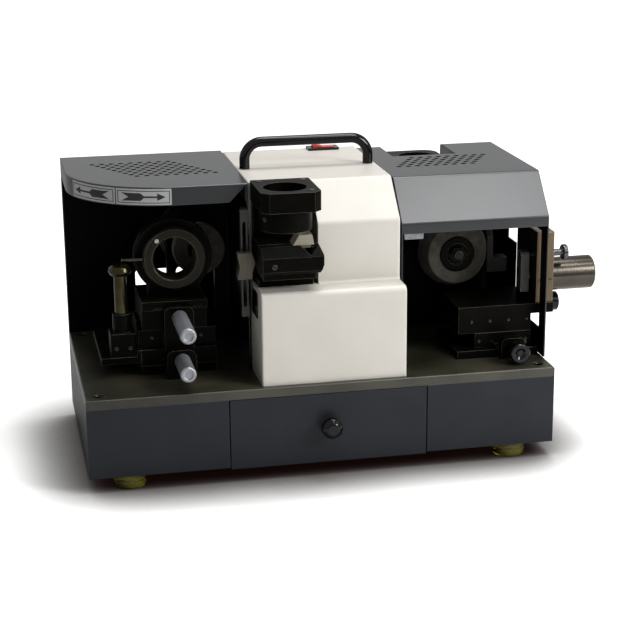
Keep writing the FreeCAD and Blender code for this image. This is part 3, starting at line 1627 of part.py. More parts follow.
def latch_ball():
    """Domed brass button on the lever's inner face."""
    radius = latch_ball_radius
    return spin([
        (0, lever_right - 4.8),
        (radius / 2, lever_right - 4.8),
        (radius / 2, lever_right),
        (radius, lever_right),
        (radius, lever_right + radius * 0.35),
        (radius * 0.85, lever_right + radius * 0.65),
        (radius * 0.5, lever_right + radius * 0.85),
        (0, lever_right + radius * 0.92),
    ], "x", (latch_y, latch_z - latch_ball_drop))


def dresser_bar():
    """Bracket standing forward of the motor plate beside the wheel, with a block on its side."""
    left = right_wheel_x + dresser_offset
    front = plate_front - dresser_length
    low = deck_top + dresser_rise
    plate = prism([
        (front, low),
        (plate_front, low),
        (plate_front, low + dresser_height),
        (front + dresser_depth, low + dresser_height),
        (front, low + dresser_height - dresser_depth),
    ], "x", left, left + dresser_plate)
    side = (left + dresser_plate, left + dresser_plate + dresser_block)
    knob = box(side, (front, front + dresser_depth), (low, low + dresser_block))
    return fuse(plate, knob)


def build():
    """Every piece under its name."""
    left_head = (left_wheel_x, left_wheel_z)
    right_head = (right_wheel_x, right_wheel_z)
    return {
        "base_cabinet": base_cabinet(),
        "deck_plate": deck_plate(),
        "deck_screws": deck_screws(),
        "feet": feet(),
        "drawer_runners": drawer_runners(),
        "drawer_tray": drawer_tray(),
        "drawer_front": drawer_front(),
        "drawer_knob": drawer_knob(),
        "center_cover": center_cover(),
        "carry_handle": carry_handle(),
        "switch_housing": switch_housing(),
        "switch_rocker": switch_rocker(),
        "power_inlet": power_inlet(),
        "power_supply": power_supply(),
        "left_hood": left_hood(),
        "right_hood": right_hood(),
        "left_motor_plate": left_motor_plate(),
        "right_motor_plate": right_motor_plate(),
        "left_motor": motor(*left_head),
        "right_motor": motor(*right_head),
        "left_spindle": spindle(*left_head, left_wheel_front, left_wheel_thickness),
        "right_spindle": spindle(*right_head, right_wheel_front, right_wheel_thickness),
        "left_wheel": wheel(*left_head, left_wheel_front, left_wheel_thickness, left_wheel_radius, 0.0),
        "right_wheel": wheel(
            *right_head, right_wheel_front, right_wheel_thickness, right_wheel_radius, right_wheel_flare
        ),
        "left_wheel_nut": wheel_nut(*left_head, left_wheel_front),
        "right_wheel_nut": wheel_nut(*right_head, right_wheel_front),
        "left_bed": left_bed(),
        "left_feed_slide": left_feed_slide(),
        "left_feed_thimble": left_feed_thimble(),
        "post_plate": post_plate(),
        "cross_base": cross_base(),
        "cross_slide": cross_slide(),
        "cross_rack": cross_rack(),
        "cross_pinion": cross_pinion(),
        "cross_handle": cross_handle(),
        "seat_bracket": seat_bracket(),
        "chuck_ring": chuck_ring(),
        "ring_stop_rod": ring_stop_rod(),
        "post_block": post_block(),
        "stop_post": stop_post(),
        "setting_bracket": setting_bracket(),
        "setting_head": setting_head(),
        "setting_jaw": setting_jaw(),
        "gauge_wedge": gauge_wedge(),
        "stop_bar": stop_bar(),
        "stop_block": stop_block(),
        "rear_setting_block": rear_setting_block(),
        "right_bed": right_bed(),
        "right_feed_slide": right_feed_slide(),
        "right_feed_screw": right_feed_screw(),
        "right_feed_knob": right_feed_knob(),
        "cross_table": cross_table(),
        "table_screw": table_screw(),
        "table_knob": table_knob(),
        "chuck_plates": chuck_plates(),
        "chuck_tube": chuck_tube(),
        "latch_knob": latch_knob(),
        "latch_lever": latch_lever(),
        "latch_ball": latch_ball(),
        "dresser_bar": dresser_bar(),
    }


os.makedirs("parts", exist_ok=True)
for name, shape in build().items():
    shape.exportStep("parts/%s.step" % name)
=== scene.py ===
"""Looks of a bench sharpener for drills and end mills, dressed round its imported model."""
import json
import logging
import math
from dataclasses import dataclass, replace
from enum import Enum
from typing import Any, ClassVar

import bpy
import numpy as np
from mathutils import Matrix, Vector


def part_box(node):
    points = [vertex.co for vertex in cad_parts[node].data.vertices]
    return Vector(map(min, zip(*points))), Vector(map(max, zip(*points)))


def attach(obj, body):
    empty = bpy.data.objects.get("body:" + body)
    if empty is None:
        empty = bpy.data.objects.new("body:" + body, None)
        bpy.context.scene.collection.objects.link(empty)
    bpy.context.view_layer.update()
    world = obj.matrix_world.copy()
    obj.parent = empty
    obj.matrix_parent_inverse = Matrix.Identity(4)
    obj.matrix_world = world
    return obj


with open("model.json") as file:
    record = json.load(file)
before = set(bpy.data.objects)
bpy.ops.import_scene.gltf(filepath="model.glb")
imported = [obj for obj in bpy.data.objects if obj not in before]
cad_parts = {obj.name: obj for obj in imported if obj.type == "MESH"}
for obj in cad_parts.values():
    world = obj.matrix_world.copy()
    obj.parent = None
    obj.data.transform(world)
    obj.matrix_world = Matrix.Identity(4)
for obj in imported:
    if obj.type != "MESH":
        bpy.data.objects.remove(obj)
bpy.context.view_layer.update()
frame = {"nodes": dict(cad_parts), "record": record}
log = logging.getLogger("sharpener")
MM = 0.001
SLOTS = {part["node"]: part["material_slot"] for part in frame["record"]["subparts"]}

Pair = tuple[float, float]
Point = tuple[float, float, float]
Socket = bpy.types.NodeSocket

# Ends of a noise's middle band, which is stretched over a whole blend: for wide patches and for fine marks.
PATCH_BAND = {"From Min": 0.36, "From Max": 0.64}
PATCH_DETAIL = 3.0
MARK_BAND = {"From Min": 0.3, "From Max": 0.7}
MARK_DETAIL = 2.0
# Brightness of the darkest and the lightest mark against the plain colour.
MARK_LIGHT = {"To Min": 0.35, "To Max": 1.3}
# Cosines of the turn from the flat normal to the rounded one where edge wear and its painted highlight, or a
# hole rim's painted shade, begins and is full.
WEAR_AND_HIGHLIGHT_TURN = {"From Min": 0.985, "From Max": 0.90}
SHADE_RIM_TURN = {"From Min": 0.998, "From Max": 0.98}
BEVEL_SAMPLES = 8
# Specular level within a darkened block.
DARK_SPECULAR = 0.03
COAT_ROUGHNESS = 0.12
# Depths in metres that red, green and blue light reach under the skin of a clear plastic.
SCATTER_DEPTH = (0.006, 0.005, 0.002)
# An axis whose share of Z is above this takes X, not Z, as the helper for its square directions.
STEEP = 0.9
# A hair of room between a seat and what lies on it, in millimetres.
SEAT_GAP = 0.02


def linear(code: str) -> tuple[float, float, float, float]:
    """Turns an sRGB hex code into linear light.

    Args:
        code: colour as # and six hex digits.

    Returns:
        Red, green, blue and an opaque alpha.
    """
    shares = [int(code[place:place + 2], 16) / 255 for place in (1, 3, 5)]
    light = [c / 12.92 if c <= 0.04045 else ((c + 0.055) / 1.055) ** 2.4 for c in shares]
    return (light[0], light[1], light[2], 1.0)


def add_node(
    tree: bpy.types.NodeTree, kind: str, inputs: dict[Any, Any], **settings: Any
) -> bpy.types.Node:
    """Adds a node with its settings, its constants and its links.

    Args:
        tree: tree that takes the node.
        kind: Blender's name for the node type, after the ShaderNode that all begin with.
        inputs: value or output socket for each input, by name or number.
        settings: attributes of the node itself.

    Returns:
        The new node.
    """
    node = tree.nodes.new(f"ShaderNode{kind}")
    for key, value in settings.items():
        setattr(node, key, value)
    for key, value in inputs.items():
        if isinstance(value, bpy.types.NodeSocket):
            tree.links.new(value, node.inputs[key])
        else:
            node.inputs[key].default_value = value
    return node


def fresh_tree(owner: bpy.types.Material | bpy.types.World) -> bpy.types.NodeTree:
    """Turns on an owner's nodes and clears them.

    Args:
        owner: material or world.

    Returns:
        Its empty tree.
    """
    owner.use_nodes = True
    owner.node_tree.nodes.clear()
    return owner.node_tree


def add_object(name: str, data: bpy.types.ID) -> bpy.types.Object:
    """Makes an object at the origin and puts it into the scene.

    Args:
        name: name of the object.
        data: its mesh, lamp or camera.

    Returns:
        The object.
    """
    made = bpy.data.objects.new(name, data)
    bpy.context.scene.collection.objects.link(made)
    return made


def aim(obj: bpy.types.Object, place: Vector, target: Vector, roll: float = 0.0) -> None:
    """Puts an object at a place and turns its -Z side to a target.

    Args:
        obj: lamp or camera.
        place: where it goes, in metres.
        target: point that it looks at, in metres.
        roll: turn about its line of sight, in degrees.
    """
    turn = (target - place).to_track_quat("-Z", "Y").to_matrix().to_4x4()
    obj.matrix_world = Matrix.Translation(place) @ turn @ Matrix.Rotation(math.radians(roll), 4, "Z")


class Side(Enum):
    """Side of the machine that a face looks to, as a direction."""

    FRONT = (0.0, -1.0, 0.0)
    BACK = (0.0, 1.0, 0.0)
    LEFT = (-1.0, 0.0, 0.0)
    TOP = (0.0, 0.0, 1.0)


class Grain(Enum):
    """Way that a surface's fine marks run, as how quickly they change along X, Y and Z."""

    EVEN = (1.0, 1.0, 1.0)
    RINGS_X = (1.0, 0.02, 0.02)
    RINGS_Y = (0.02, 1.0, 0.02)
    RINGS_Z = (0.02, 0.02, 1.0)
    LINES_X = (0.03, 1.0, 1.0)
    LINES_Z = (1.0, 1.0, 0.03)


@dataclass(frozen=True)
class DarkenedBlock:
    """Block of space within which a surface, or only the rims of its holes, turns near black with little
    shine.

    It darkens the hoods' inside walls, and paints shade on the hoods' hole rims and on the chuck plates'
    broad faces.
    Its corners are in metres.
    """

    low: Point
    high: Point
    shaded_rims_only: bool = False


@dataclass(frozen=True)
class Finish:
    """A surface: its colours, its shine, its fine marks, and the wear and painted highlight along its edges.

    Colour and cloud blend in wide patches, and edge shows along edges, partly as wear and partly as a
    painted highlight. Names that end in mm are millimetres. The grain sizes are coarser than the real marks,
    which would be finer than a pixel.
    """

    name: str
    colour: str
    cloud: str
    roughness: float
    # edge: colour along edges, for their wear and also as a painted highlight.
    edge: str
    roughness_spread: float = 0.15
    metallic: float = 0.0
    grain: Grain = Grain.EVEN
    grain_mm: float = 1.6
    grain_depth_mm: float = 0.01
    grain_shade: float = 0.0
    cloud_mm: float = 45.0
    edge_wear_and_highlight: float = 0.4
    edge_mm: float = 0.7
    specular: float = 0.5
    coat: float = 0.0
    see_through: float = 0.0
    scatter: float = 0.0
    darkened_blocks: tuple[DarkenedBlock, ...] = ()
    dark_colour: str = "#040404"

    def darkened(
        self, tree: bpy.types.NodeTree, place: Socket, colour: Socket, turn: Socket
    ) -> tuple[Socket, Socket | float]:
        """Swaps colour and shine for the near-black colour and low shine within the darkened blocks.

        A point is within a block where its least distance to the block's sides is above nought.

        Args:
            tree: tree that takes the nodes.
            place: output with the object's own coordinates.
            colour: output with the outside colour.
            turn: output with the cosine between the rounded normal and the flat one.

        Returns:
            Colour and specular level.
        """
        shine: Socket | float = self.specular
        for dark_block in self.darkened_blocks:
            above = add_node(tree, "VectorMath", {0: place, 1: dark_block.low}, operation="SUBTRACT")
            below = add_node(tree, "VectorMath", {0: dark_block.high, 1: place}, operation="SUBTRACT")
            least = add_node(tree, "VectorMath", {
                0: above.outputs["Vector"], 1: below.outputs["Vector"]}, operation="MINIMUM")
            depth, *sides = add_node(tree, "SeparateXYZ", {0: least.outputs["Vector"]}).outputs
            for side in sides:
                depth = add_node(tree, "Math", {0: depth, 1: side}, operation="MINIMUM").outputs[0]
            within = add_node(tree, "Math", {0: depth, 1: 0.0}, operation="GREATER_THAN")
            # Where only rims darken, the near-black colour is painted shade round the holes.
            if dark_block.shaded_rims_only:
                rim = add_node(tree, "MapRange", {"Value": turn, **SHADE_RIM_TURN})
                within = add_node(tree, "Math", {
                    0: within.outputs[0], 1: rim.outputs["Result"]}, operation="MULTIPLY")
            colour = add_node(tree, "Mix", {
                0: within.outputs[0], 6: colour, 7: linear(self.dark_colour)}, data_type="RGBA").outputs[2]
            shine = add_node(tree, "Mix", {
                0: within.outputs[0], 2: shine, 3: DARK_SPECULAR}).outputs[0]
        return colour, shine

    def material(self) -> bpy.types.Material:
        """Builds the finish once and gives the same material again later.

        Wide noise blends the two colours, fine noise stretched along the grain gives bump, shade and
        roughness, and the turn between a rounded edge normal and the flat one shows where edges take their
        wear and their painted highlight.

        Returns:
            The material.
        """
        known = bpy.data.materials.get(self.name)
        if known:
            return known
        made = bpy.data.materials.new(self.name)
        tree = fresh_tree(made)
        place = add_node(tree, "TexCoord", {}).outputs["Object"]
        cloud = add_node(tree, "TexNoise", {
            "Vector": place, "Scale": 1 / (self.cloud_mm * MM), "Detail": PATCH_DETAIL})
        patches = add_node(tree, "MapRange", {"Value": cloud.outputs["Fac"], **PATCH_BAND})
        run = add_node(tree, "Mapping", {"Vector": place, "Scale": self.grain.value})
        marks = add_node(tree, "TexNoise", {
            "Vector": run.outputs["Vector"], "Scale": 1 / (self.grain_mm * MM), "Detail": MARK_DETAIL})
        base = add_node(tree, "Mix", {
            0: patches.outputs["Result"], 6: linear(self.colour), 7: linear(self.cloud)}, data_type="RGBA")
        light = add_node(tree, "MapRange", {"Value": marks.outputs["Fac"], **MARK_BAND, **MARK_LIGHT})
        shade = add_node(tree, "Mix", {
            0: self.grain_shade, 6: base.outputs[2], 7: light.outputs["Result"]},
            data_type="RGBA", blend_type="MULTIPLY")
        rounded = add_node(tree, "Bevel", {"Radius": self.edge_mm * MM}, samples=BEVEL_SAMPLES)
        flat = add_node(tree, "NewGeometry", {})
        turn = add_node(tree, "VectorMath", {
            0: rounded.outputs["Normal"], 1: flat.outputs["Normal"]}, operation="DOT_PRODUCT")
        # Edge mask: wear and a painted highlight where the rounded normal turns away from the flat one.
        worn_and_lit = add_node(tree, "MapRange", {
            "Value": turn.outputs["Value"], **WEAR_AND_HIGHLIGHT_TURN, "To Max": self.edge_wear_and_highlight})
        broken = add_node(tree, "Math", {
            0: worn_and_lit.outputs["Result"], 1: light.outputs["Result"]}, operation="MULTIPLY", use_clamp=True)
        colour = add_node(tree, "Mix", {
            0: broken.outputs["Value"], 6: shade.outputs[2], 7: linear(self.edge)}, data_type="RGBA")
        rough = add_node(tree, "MapRange", {
            "Value": marks.outputs["Fac"], **MARK_BAND,
            "To Min": self.roughness * (1 - self.roughness_spread),
            "To Max": min(self.roughness * (1 + self.roughness_spread), 1.0)})
        bump = add_node(tree, "Bump", {
            "Strength": 1.0, "Distance": self.grain_depth_mm * MM,
            "Height": marks.outputs["Fac"], "Normal": rounded.outputs["Normal"]})
        tint, shine = self.darkened(tree, place, colour.outputs[2], turn.outputs["Value"])
        surface = add_node(tree, "BsdfPrincipled", {
            "Base Color": tint,
            "Specular IOR Level": shine,
            "Metallic": self.metallic,
            "Roughness": rough.outputs["Result"],
            "Normal": bump.outputs["Normal"],
            "Coat Weight": self.coat,
            "Coat Roughness": COAT_ROUGHNESS,
            "Transmission Weight": self.see_through,
            "Subsurface Weight": self.scatter,
            "Subsurface Radius": SCATTER_DEPTH,
        })
        add_node(tree, "OutputMaterial", {"Surface": surface.outputs["BSDF"]})
        return made


# Powder coat on folded sheet: satin, faintly pebbled, a shade lighter along its edges, partly from handling
# wear and partly as a painted highlight.
CABINET = Finish("powder_coat_charcoal", "#1c1e23", "#202227", 0.42, grain_depth_mm=0.02, specular=0.22,
                 edge="#5a5d62", edge_wear_and_highlight=0.5)
# Smooth powder coat of the hoods: no grain, and a soft sheen that spreads a lamp over a whole slope.
HOOD = Finish("powder_coat_dark_grey", "#181a1d", "#1c1e22", 0.28, roughness_spread=0.02,
              grain_depth_mm=0.001, specular=0.58, edge="#6c6f72", edge_wear_and_highlight=0.15, edge_mm=1.0)
# Smooth warm white powder coat: even, slightly glossy, with rounded folds.
COVER = Finish("powder_coat_warm_white", "#c9c5bc", "#cdc9c1", 0.40, grain_depth_mm=0.02, grain_mm=2.4,
               edge="#f4f2ea", edge_mm=1.2)
# Oiled black plate of the deck: almost black with an olive cast and wide soft smears.
DECK = Finish("oiled_black_deck", "#1c1b12", "#39372b", 0.36, grain=Grain.LINES_X,
              edge="#3c3c3a", cloud_mm=70.0)
# Blackened tool steel, milled: dark brown-black with faint lines, and pale edges, partly bare metal from
# wear and partly a painted highlight.
BLACKED = Finish("black_oxide_steel", "#040403", "#080704", 0.36, specular=0.04, grain=Grain.LINES_X,
                 grain_shade=0.15, grain_depth_mm=0.015, edge="#85826c", edge_wear_and_highlight=0.75, edge_mm=0.5,
                 cloud_mm=18.0)
# Blackened steel off the lathe: fine rings on a brown-black face, and rims made bright partly by wear and
# partly by a painted highlight.
BLACKED_TURNED = Finish("black_oxide_turned", "#15130a", "#1d1a0e", 0.30, metallic=0.3, specular=0.2,
                        grain=Grain.RINGS_Y, grain_mm=1.1, grain_shade=0.2, grain_depth_mm=0.015,
                        edge="#b5af93", edge_wear_and_highlight=0.9, cloud_mm=16.0)
# Browned steel, polished by use: a dark bronze shine with fine rings.
BLACKED_POST = Finish("browned_steel_post", "#3f3b27", "#302c1b", 0.22, metallic=0.9, grain=Grain.RINGS_Z,
                      grain_mm=1.1, grain_shade=0.08, grain_depth_mm=0.012, edge="#c9c2a4", edge_wear_and_highlight=0.8,
                      edge_mm=0.6, cloud_mm=16.0)
# Honed steel tube and rods: grey-brown satin, faint streaks along the axis.
HONED = Finish("honed_steel", "#524d46", "#46423c", 0.23, metallic=1.0, grain=Grain.LINES_X,
               grain_mm=1.4, grain_shade=0.04, grain_depth_mm=0.005, edge="#c9c5bd", edge_wear_and_highlight=0.6)
# Turned, plated and polished steel: dark clear reflections with a bright rim.
POLISHED = Finish("polished_plated_steel", "#5c5d60", "#47484b", 0.18, metallic=1.0, grain=Grain.RINGS_X,
                  grain_mm=2.2, grain_shade=0.3, edge="#d0d0d0", edge_wear_and_highlight=0.5)
# Bead-blasted aluminium: pale and frosted, faint turning marks.
ALUMINIUM = Finish("blasted_aluminium", "#94969c", "#85878e", 0.38, metallic=0.6, grain=Grain.RINGS_Y,
                   grain_mm=1.8, grain_shade=0.1, grain_depth_mm=0.015, edge="#ffffff", edge_wear_and_highlight=0.6)
# Ground steel plate under a warm film of oil: fine upright lines and a brown cast.
GROUND = Finish("ground_steel_oiled", "#63543f", "#554837", 0.42, metallic=0.5, grain=Grain.LINES_Z,
                grain_mm=0.9, grain_shade=0.3, grain_depth_mm=0.015, edge="#b8a88f", edge_wear_and_highlight=0.7)
# The same ground steel with less oil on it: greyer.
STOP = replace(GROUND, name="ground_stop_block", colour="#5e594f", cloud="#514c43")
# Machined steel left bare and gone dull: mid grey with faint lines.
DULL = Finish("dull_machined_steel", "#4c4c4a", "#403f3d", 0.46, metallic=0.6, grain=Grain.LINES_Z,
              grain_shade=0.15, edge="#8c8b86", edge_wear_and_highlight=0.6, edge_mm=0.5)
# Ground gauge steel, wiped dry: pale and warm with fine lines along it.
GAUGE = Finish("ground_gauge_plate", "#a39d8c", "#8f8a7a", 0.40, metallic=0.6, grain=Grain.LINES_X,
               grain_mm=0.9, grain_shade=0.25, grain_depth_mm=0.012, edge="#dedad0", edge_wear_and_highlight=0.5)
# Turned and polished brass: warm yellow metal with sharp lights.
BRASS = Finish("polished_brass", "#a98a52", "#957743", 0.26, metallic=1.0, grain=Grain.RINGS_X, grain_mm=1.2,
               grain_shade=0.15, edge="#efd9a4")
# Moulded phenolic and lacquered bar: deep black with a hard clear gloss.
GLOSS = Finish("gloss_black_moulding", "#050506", "#08080a", 0.09, grain_mm=6.0, grain_depth_mm=0.002,
               specular=0.25, edge="#1c1c1e", edge_mm=0.8)
# Moulded nylon with a glossy skin: an even, saturated red with pale rims.
ROCKER = Finish("gloss_red_moulding", "#c3201d", "#b01a18", 0.25, grain_mm=2.5, coat=0.5,
                edge="#e35a50", edge_wear_and_highlight=0.5)
# Cast polyurethane: pale yellow-green and lets light in, with pale rims that are a painted glow.
URETHANE = Finish("cast_polyurethane", "#c2bd4e", "#aca63c", 0.14, see_through=0.8, scatter=0.1,
                  grain_mm=9.0, grain_depth_mm=0.02, edge="#efedb8")
# Stoved enamel on the motor shells: dark grey, slightly wavy.
ENAMEL = Finish("stoved_enamel_grey", "#17181a", "#121315", 0.42, grain_mm=3.0, grain_depth_mm=0.05,
                edge="#46484c")
# Bonded abrasive: dull grey-brown, gritty to the eye, dark and light grains side by side.
ABRASIVE = Finish("bonded_abrasive", "#57534a", "#47443c", 0.88, grain_mm=0.9, grain_depth_mm=0.12,
                  grain_shade=0.6, edge="#6e675a", edge_wear_and_highlight=0.3, cloud_mm=9.0)
# Varnished steel sheets stacked along Y: thin upright bands of brown-grey.
LAMINATED = Finish("varnished_laminations", "#4a443c", "#3c372f", 0.5, metallic=0.4, grain=Grain.RINGS_Y,
                   grain_mm=0.8, grain_shade=0.7, grain_depth_mm=0.05, edge="#7a7468", edge_wear_and_highlight=0.3)
# Zinc-plated sheet: mid grey with a loose spangle.
ZINC = Finish("zinc_plated_sheet", "#8f9294", "#7c7f82", 0.36, metallic=0.9, grain_mm=5.0, grain_shade=0.3,
              edge="#c4c6c8", cloud_mm=8.0)
# Satin anodised sign plate: pale, with faint brushed lines along it.
PLATE = Finish("anodised_sign_plate", "#b4b5b6", "#bfc0c1", 0.34, metallic=0.6, grain=Grain.LINES_X,
               grain_mm=0.8, grain_shade=0.12, grain_depth_mm=0.006, edge="#dadada", edge_wear_and_highlight=0.3,
               edge_mm=0.3)
# Ink printed on the plates: an even, nearly matt black film.
INK = Finish("black_sign_ink", "#0a0a0c", "#0f0f12", 0.5, grain_mm=1.0, grain_depth_mm=0.005, edge="#0f0f12",
             edge_wear_and_highlight=0.0, edge_mm=0.2)
# Blackened cap screws: dark heads with bright rims, partly rubbed by the key and partly a painted highlight.
SOCKET_STEEL = Finish("black_socket_screw", "#1b1a18", "#26241f", 0.30, metallic=0.8, grain_mm=0.8,
                      grain_shade=0.2, edge="#a8a498", edge_wear_and_highlight=0.9, edge_mm=0.3, cloud_mm=6.0)
# Plated screws: bright heads with soft grey patches.
BRIGHT_SCREW = Finish("plated_pan_screw", "#b5b4b0", "#9d9c98", 0.26, metallic=1.0, grain_mm=0.8,
                      grain_shade=0.15, edge="#e6e5e2", edge_wear_and_highlight=0.6, edge_mm=0.3, cloud_mm=5.0)

# Finish that a node of each material slot wears, unless its sub-assembly names another.
BY_SLOT = {
    "cabinet_paint": CABINET, "deck_black": DECK, "hood_grey": HOOD, "cover_white": COVER,
    "black_oxide": BLACKED, "bright_steel": HONED, "satin_aluminium": ALUMINIUM, "tan_steel": GROUND,
    "brass": BRASS, "gloss_black": GLOSS, "rocker_red": ROCKER, "foot_urethane": URETHANE,
    "motor_grey": ENAMEL, "abrasive_grey": ABRASIVE, "core_iron": LAMINATED, "gauge_pale": GAUGE,
    "zinc_steel": ZINC,
}


class MeshMaker:
    """Collects lofted shells and turns them into one mesh object at the origin."""

    def __init__(self) -> None:
        """Starts with no points and no faces."""
        self.points: list[np.ndarray] = []
        self.faces: list[list[int]] = []
        self.count = 0

    def loft(self, rings: np.ndarray, closed_path: bool = False) -> None:
        """Adds a closed shell through rings of points: quads between neighbours, a flat cap on each end.

        The faces are turned outwards by the sign of the volume that they enclose.

        Args:
            rings: points as (ring, place round it, xyz), in metres.
            closed_path: whether the last ring joins the first, with no caps.
        """
        rows, columns = rings.shape[:2]
        number = np.arange(rows * columns).reshape(rows, columns)
        lower = number if closed_path else number[:-1]
        upper = np.roll(number, -1, axis=0) if closed_path else number[1:]
        quads = np.stack([lower, np.roll(lower, -1, axis=1), np.roll(upper, -1, axis=1), upper], axis=-1)
        faces = quads.reshape(-1, 4)
        flat = rings.reshape(-1, 3)
        caps = [] if closed_path else [number[0][::-1].tolist(), number[-1].tolist()]
        corner = flat[faces] - flat.mean(axis=0)
        volume = sum(
            np.einsum("ij,ij->", corner[:, 0], np.cross(corner[:, k], corner[:, k + 1])) for k in (1, 2))
        everything = faces.tolist() + caps
        if volume < 0:
            everything = [face[::-1] for face in everything]
        self.faces.extend([[place + self.count for place in face] for face in everything])
        self.points.append(flat)
        self.count += len(flat)

    def finish(self, name: str, finish: Finish, body: str, slot: str) -> None:
        """Makes the object, dresses it and sets it on its body.

        Args:
            name: name of the piece.
            finish: its surface.
            body: CAD body that it rides on.
            slot: material slot of the record for the piece; not used.
        """
        mesh = bpy.data.meshes.new(name)
        mesh.from_pydata(np.concatenate(self.points).tolist(), [], self.faces)
        mesh.materials.append(finish.material())
        mesh.update()
        piece = add_object(name, mesh)
        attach(piece, body)
        log.info("piece %s: %d faces on %s", name, len(mesh.polygons), body)


def basis(out: Point) -> np.ndarray:
    """Gives three square directions, the last of which is out.

    Args:
        out: outward direction.

    Returns:
        Rows across, up and out.
    """
    third = np.asarray(out, float) / np.linalg.norm(out)
    helper = np.array([1.0, 0.0, 0.0]) if abs(third[2]) > STEEP else np.array([0.0, 0.0, 1.0])
    first = np.cross(helper, third)
    first /= np.linalg.norm(first)
    return np.stack([first, np.cross(third, first), third])


def lathe_rings(centre: Point, out: Point, radii: np.ndarray, heights: np.ndarray) -> np.ndarray:
    """Works out rings round an axis: centre plus radius times (cos, sin) across it plus height along it.

    Args:
        centre: point on the axis, in metres.
        out: direction of the axis.
        radii: radius for each ring and angle, in metres.
        heights: place of each ring along the axis, in metres.

    Returns:
        Points as (ring, angle, xyz).
    """
    turns = np.linspace(0, 2 * math.pi, radii.shape[1], endpoint=False)
    across, up, along = basis(out)
    spread = radii[..., None] * (np.cos(turns)[:, None] * across + np.sin(turns)[:, None] * up)
    return np.asarray(centre) + spread + heights[:, None, None] * along


@dataclass(frozen=True)
class CapScrew:
    """Round screw head with a six-sided socket: radius, rise and sink in millimetres.

    The socket and the flat top are shares of the radius, the socket's floor and the rim shares of the rise.
    """

    radius: float
    rise: float
    sink: float = 0.2
    socket: float = 0.5
    socket_floor: float = 0.35
    flat_top: float = 0.86
    rim_height: float = 0.84
    side_degrees: float = 60.0
    corners: int = 24

    def add(self, maker: MeshMaker, centre: Point, out: Point) -> None:
        """Adds a head as rings from the socket's floor over the flat top and the rim to below the seat.

        The socket's radius is its half width over the cosine of the angle from the middle of a side.

        Args:
            maker: shell collector.
            centre: middle of the head's seat, in metres.
            out: direction that the head looks.
        """
        radius, rise = self.radius * MM, self.rise * MM
        turns = np.linspace(0, 360, self.corners, endpoint=False)
        six = radius * self.socket / np.cos(np.radians(turns % self.side_degrees - self.side_degrees / 2))
        round_shares = np.array([self.flat_top, 1.0, 1.0])[:, None]
        radii = np.concatenate([np.stack([six, six]), radius * round_shares * np.ones(self.corners)])
        heights = np.array([rise * self.socket_floor, rise, rise, rise * self.rim_height, -self.sink * MM])
        maker.loft(lathe_rings(centre, out, radii, heights))


@dataclass(frozen=True)
class PanScrew:
    """Domed screw head with a cross recess: radius in millimetres.

    Waist, wing, dome and heights are shares of it, and the taper is the recess's floor over its mouth.
    """

    radius: float
    waist: float = 0.16
    wing: float = 0.44
    wings: int = 4
    wing_power: int = 3
    recess_taper: float = 0.7
    dome: tuple[float, ...] = (0.72, 0.93, 1.0, 1.0)
    heights: tuple[float, ...] = (0.25, 0.62, 0.62, 0.48, 0.22, -0.1)
    corners: int = 32

    def add(self, maker: MeshMaker, centre: Point, out: Point) -> None:
        """Adds a head whose recess swells at each wing, as a power of (1 + cos(wings times angle)) / 2.

        Args:
            maker: shell collector.
            centre: middle of the head's seat, in metres.
            out: direction that the head looks.
        """
        radius = self.radius * MM
        turns = np.linspace(0, 2 * math.pi, self.corners, endpoint=False)
        swell = ((1 + np.cos(self.wings * turns)) / 2) ** self.wing_power
        cross = radius * (self.waist + self.wing * swell)
        dome = radius * np.array(self.dome)[:, None] * np.ones(self.corners)
        radii = np.concatenate([np.stack([cross * self.recess_taper, cross]), dome])
        maker.loft(lathe_rings(centre, out, radii, radius * np.array(self.heights)))


@dataclass(frozen=True)
class Slab:
    """Flat plate with round corners: sizes in millimetres, the top's share and the shoulder as shares."""

    width: float
    height: float
    corner: float
    thick: float
    top_share: float = 0.97
    shoulder: float = 0.7
    corner_points: int = 6

    def outline(self) -> np.ndarray:
        """Gives a rectangle with quarter-circle corners.

        Returns:
            Points in order round the outline, in metres.
        """
        points = self.corner_points
        starts = np.repeat(np.arange(4) * math.pi / 2, points)
        angle = np.tile(np.radians(np.linspace(0, 90, points)), 4) + starts
        sign_x = np.repeat([1, -1, -1, 1], points)
        sign_y = np.repeat([1, 1, -1, -1], points)
        x = sign_x * (self.width / 2 - self.corner) + self.corner * np.cos(angle)
        y = sign_y * (self.height / 2 - self.corner) + self.corner * np.sin(angle)
        return np.stack([x, y], axis=1) * MM

    def add(self, maker: MeshMaker, centre: Point, out: Point) -> None:
        """Adds the plate: its outline at the seat, again at the shoulder, and drawn in a little on top.

        Args:
            maker: shell collector.
            centre: middle of its seat, in metres.
            out: direction that it faces.
        """
        across, up, along = basis(out)
        outline = self.outline()
        flat = outline[:, :1] * across + outline[:, 1:] * up
        shares = np.array([1.0, 1.0, self.top_share])[:, None, None]
        lifts = np.array([0.0, self.shoulder, 1.0])[:, None, None] * self.thick * MM * along
        maker.loft(np.asarray(centre) + shares * flat + lifts)


class Assembly:
    """A sub-assembly, which dresses its own CAD nodes and adds the pieces that they lack."""

    nodes: ClassVar[tuple[str, ...]] = ()

    def own_finishes(self) -> dict[str, Finish]:
        """Gives the nodes that don't wear their slot's finish: none, unless a sub-assembly names some."""
        return {}

    def dress(self) -> None:
        """Gives each CAD node its own finish or that of its slot."""
        own = self.own_finishes()
        for node in self.nodes:
            finish = own.get(node, BY_SLOT[SLOTS[node]])
            piece = frame["nodes"][node]
            if not piece.material_slots:
                piece.data.materials.append(finish.material())
            for slot in piece.material_slots:
                slot.material = finish.material()
            log.info("node %s: %s", node, finish.name)

    def add_pieces(self) -> None:
        """Adds the pieces that the nodes lack: none, unless a sub-assembly makes some."""

    def build(self) -> None:
        """Dresses the nodes, then adds the other pieces."""
        self.dress()
        self.add_pieces()


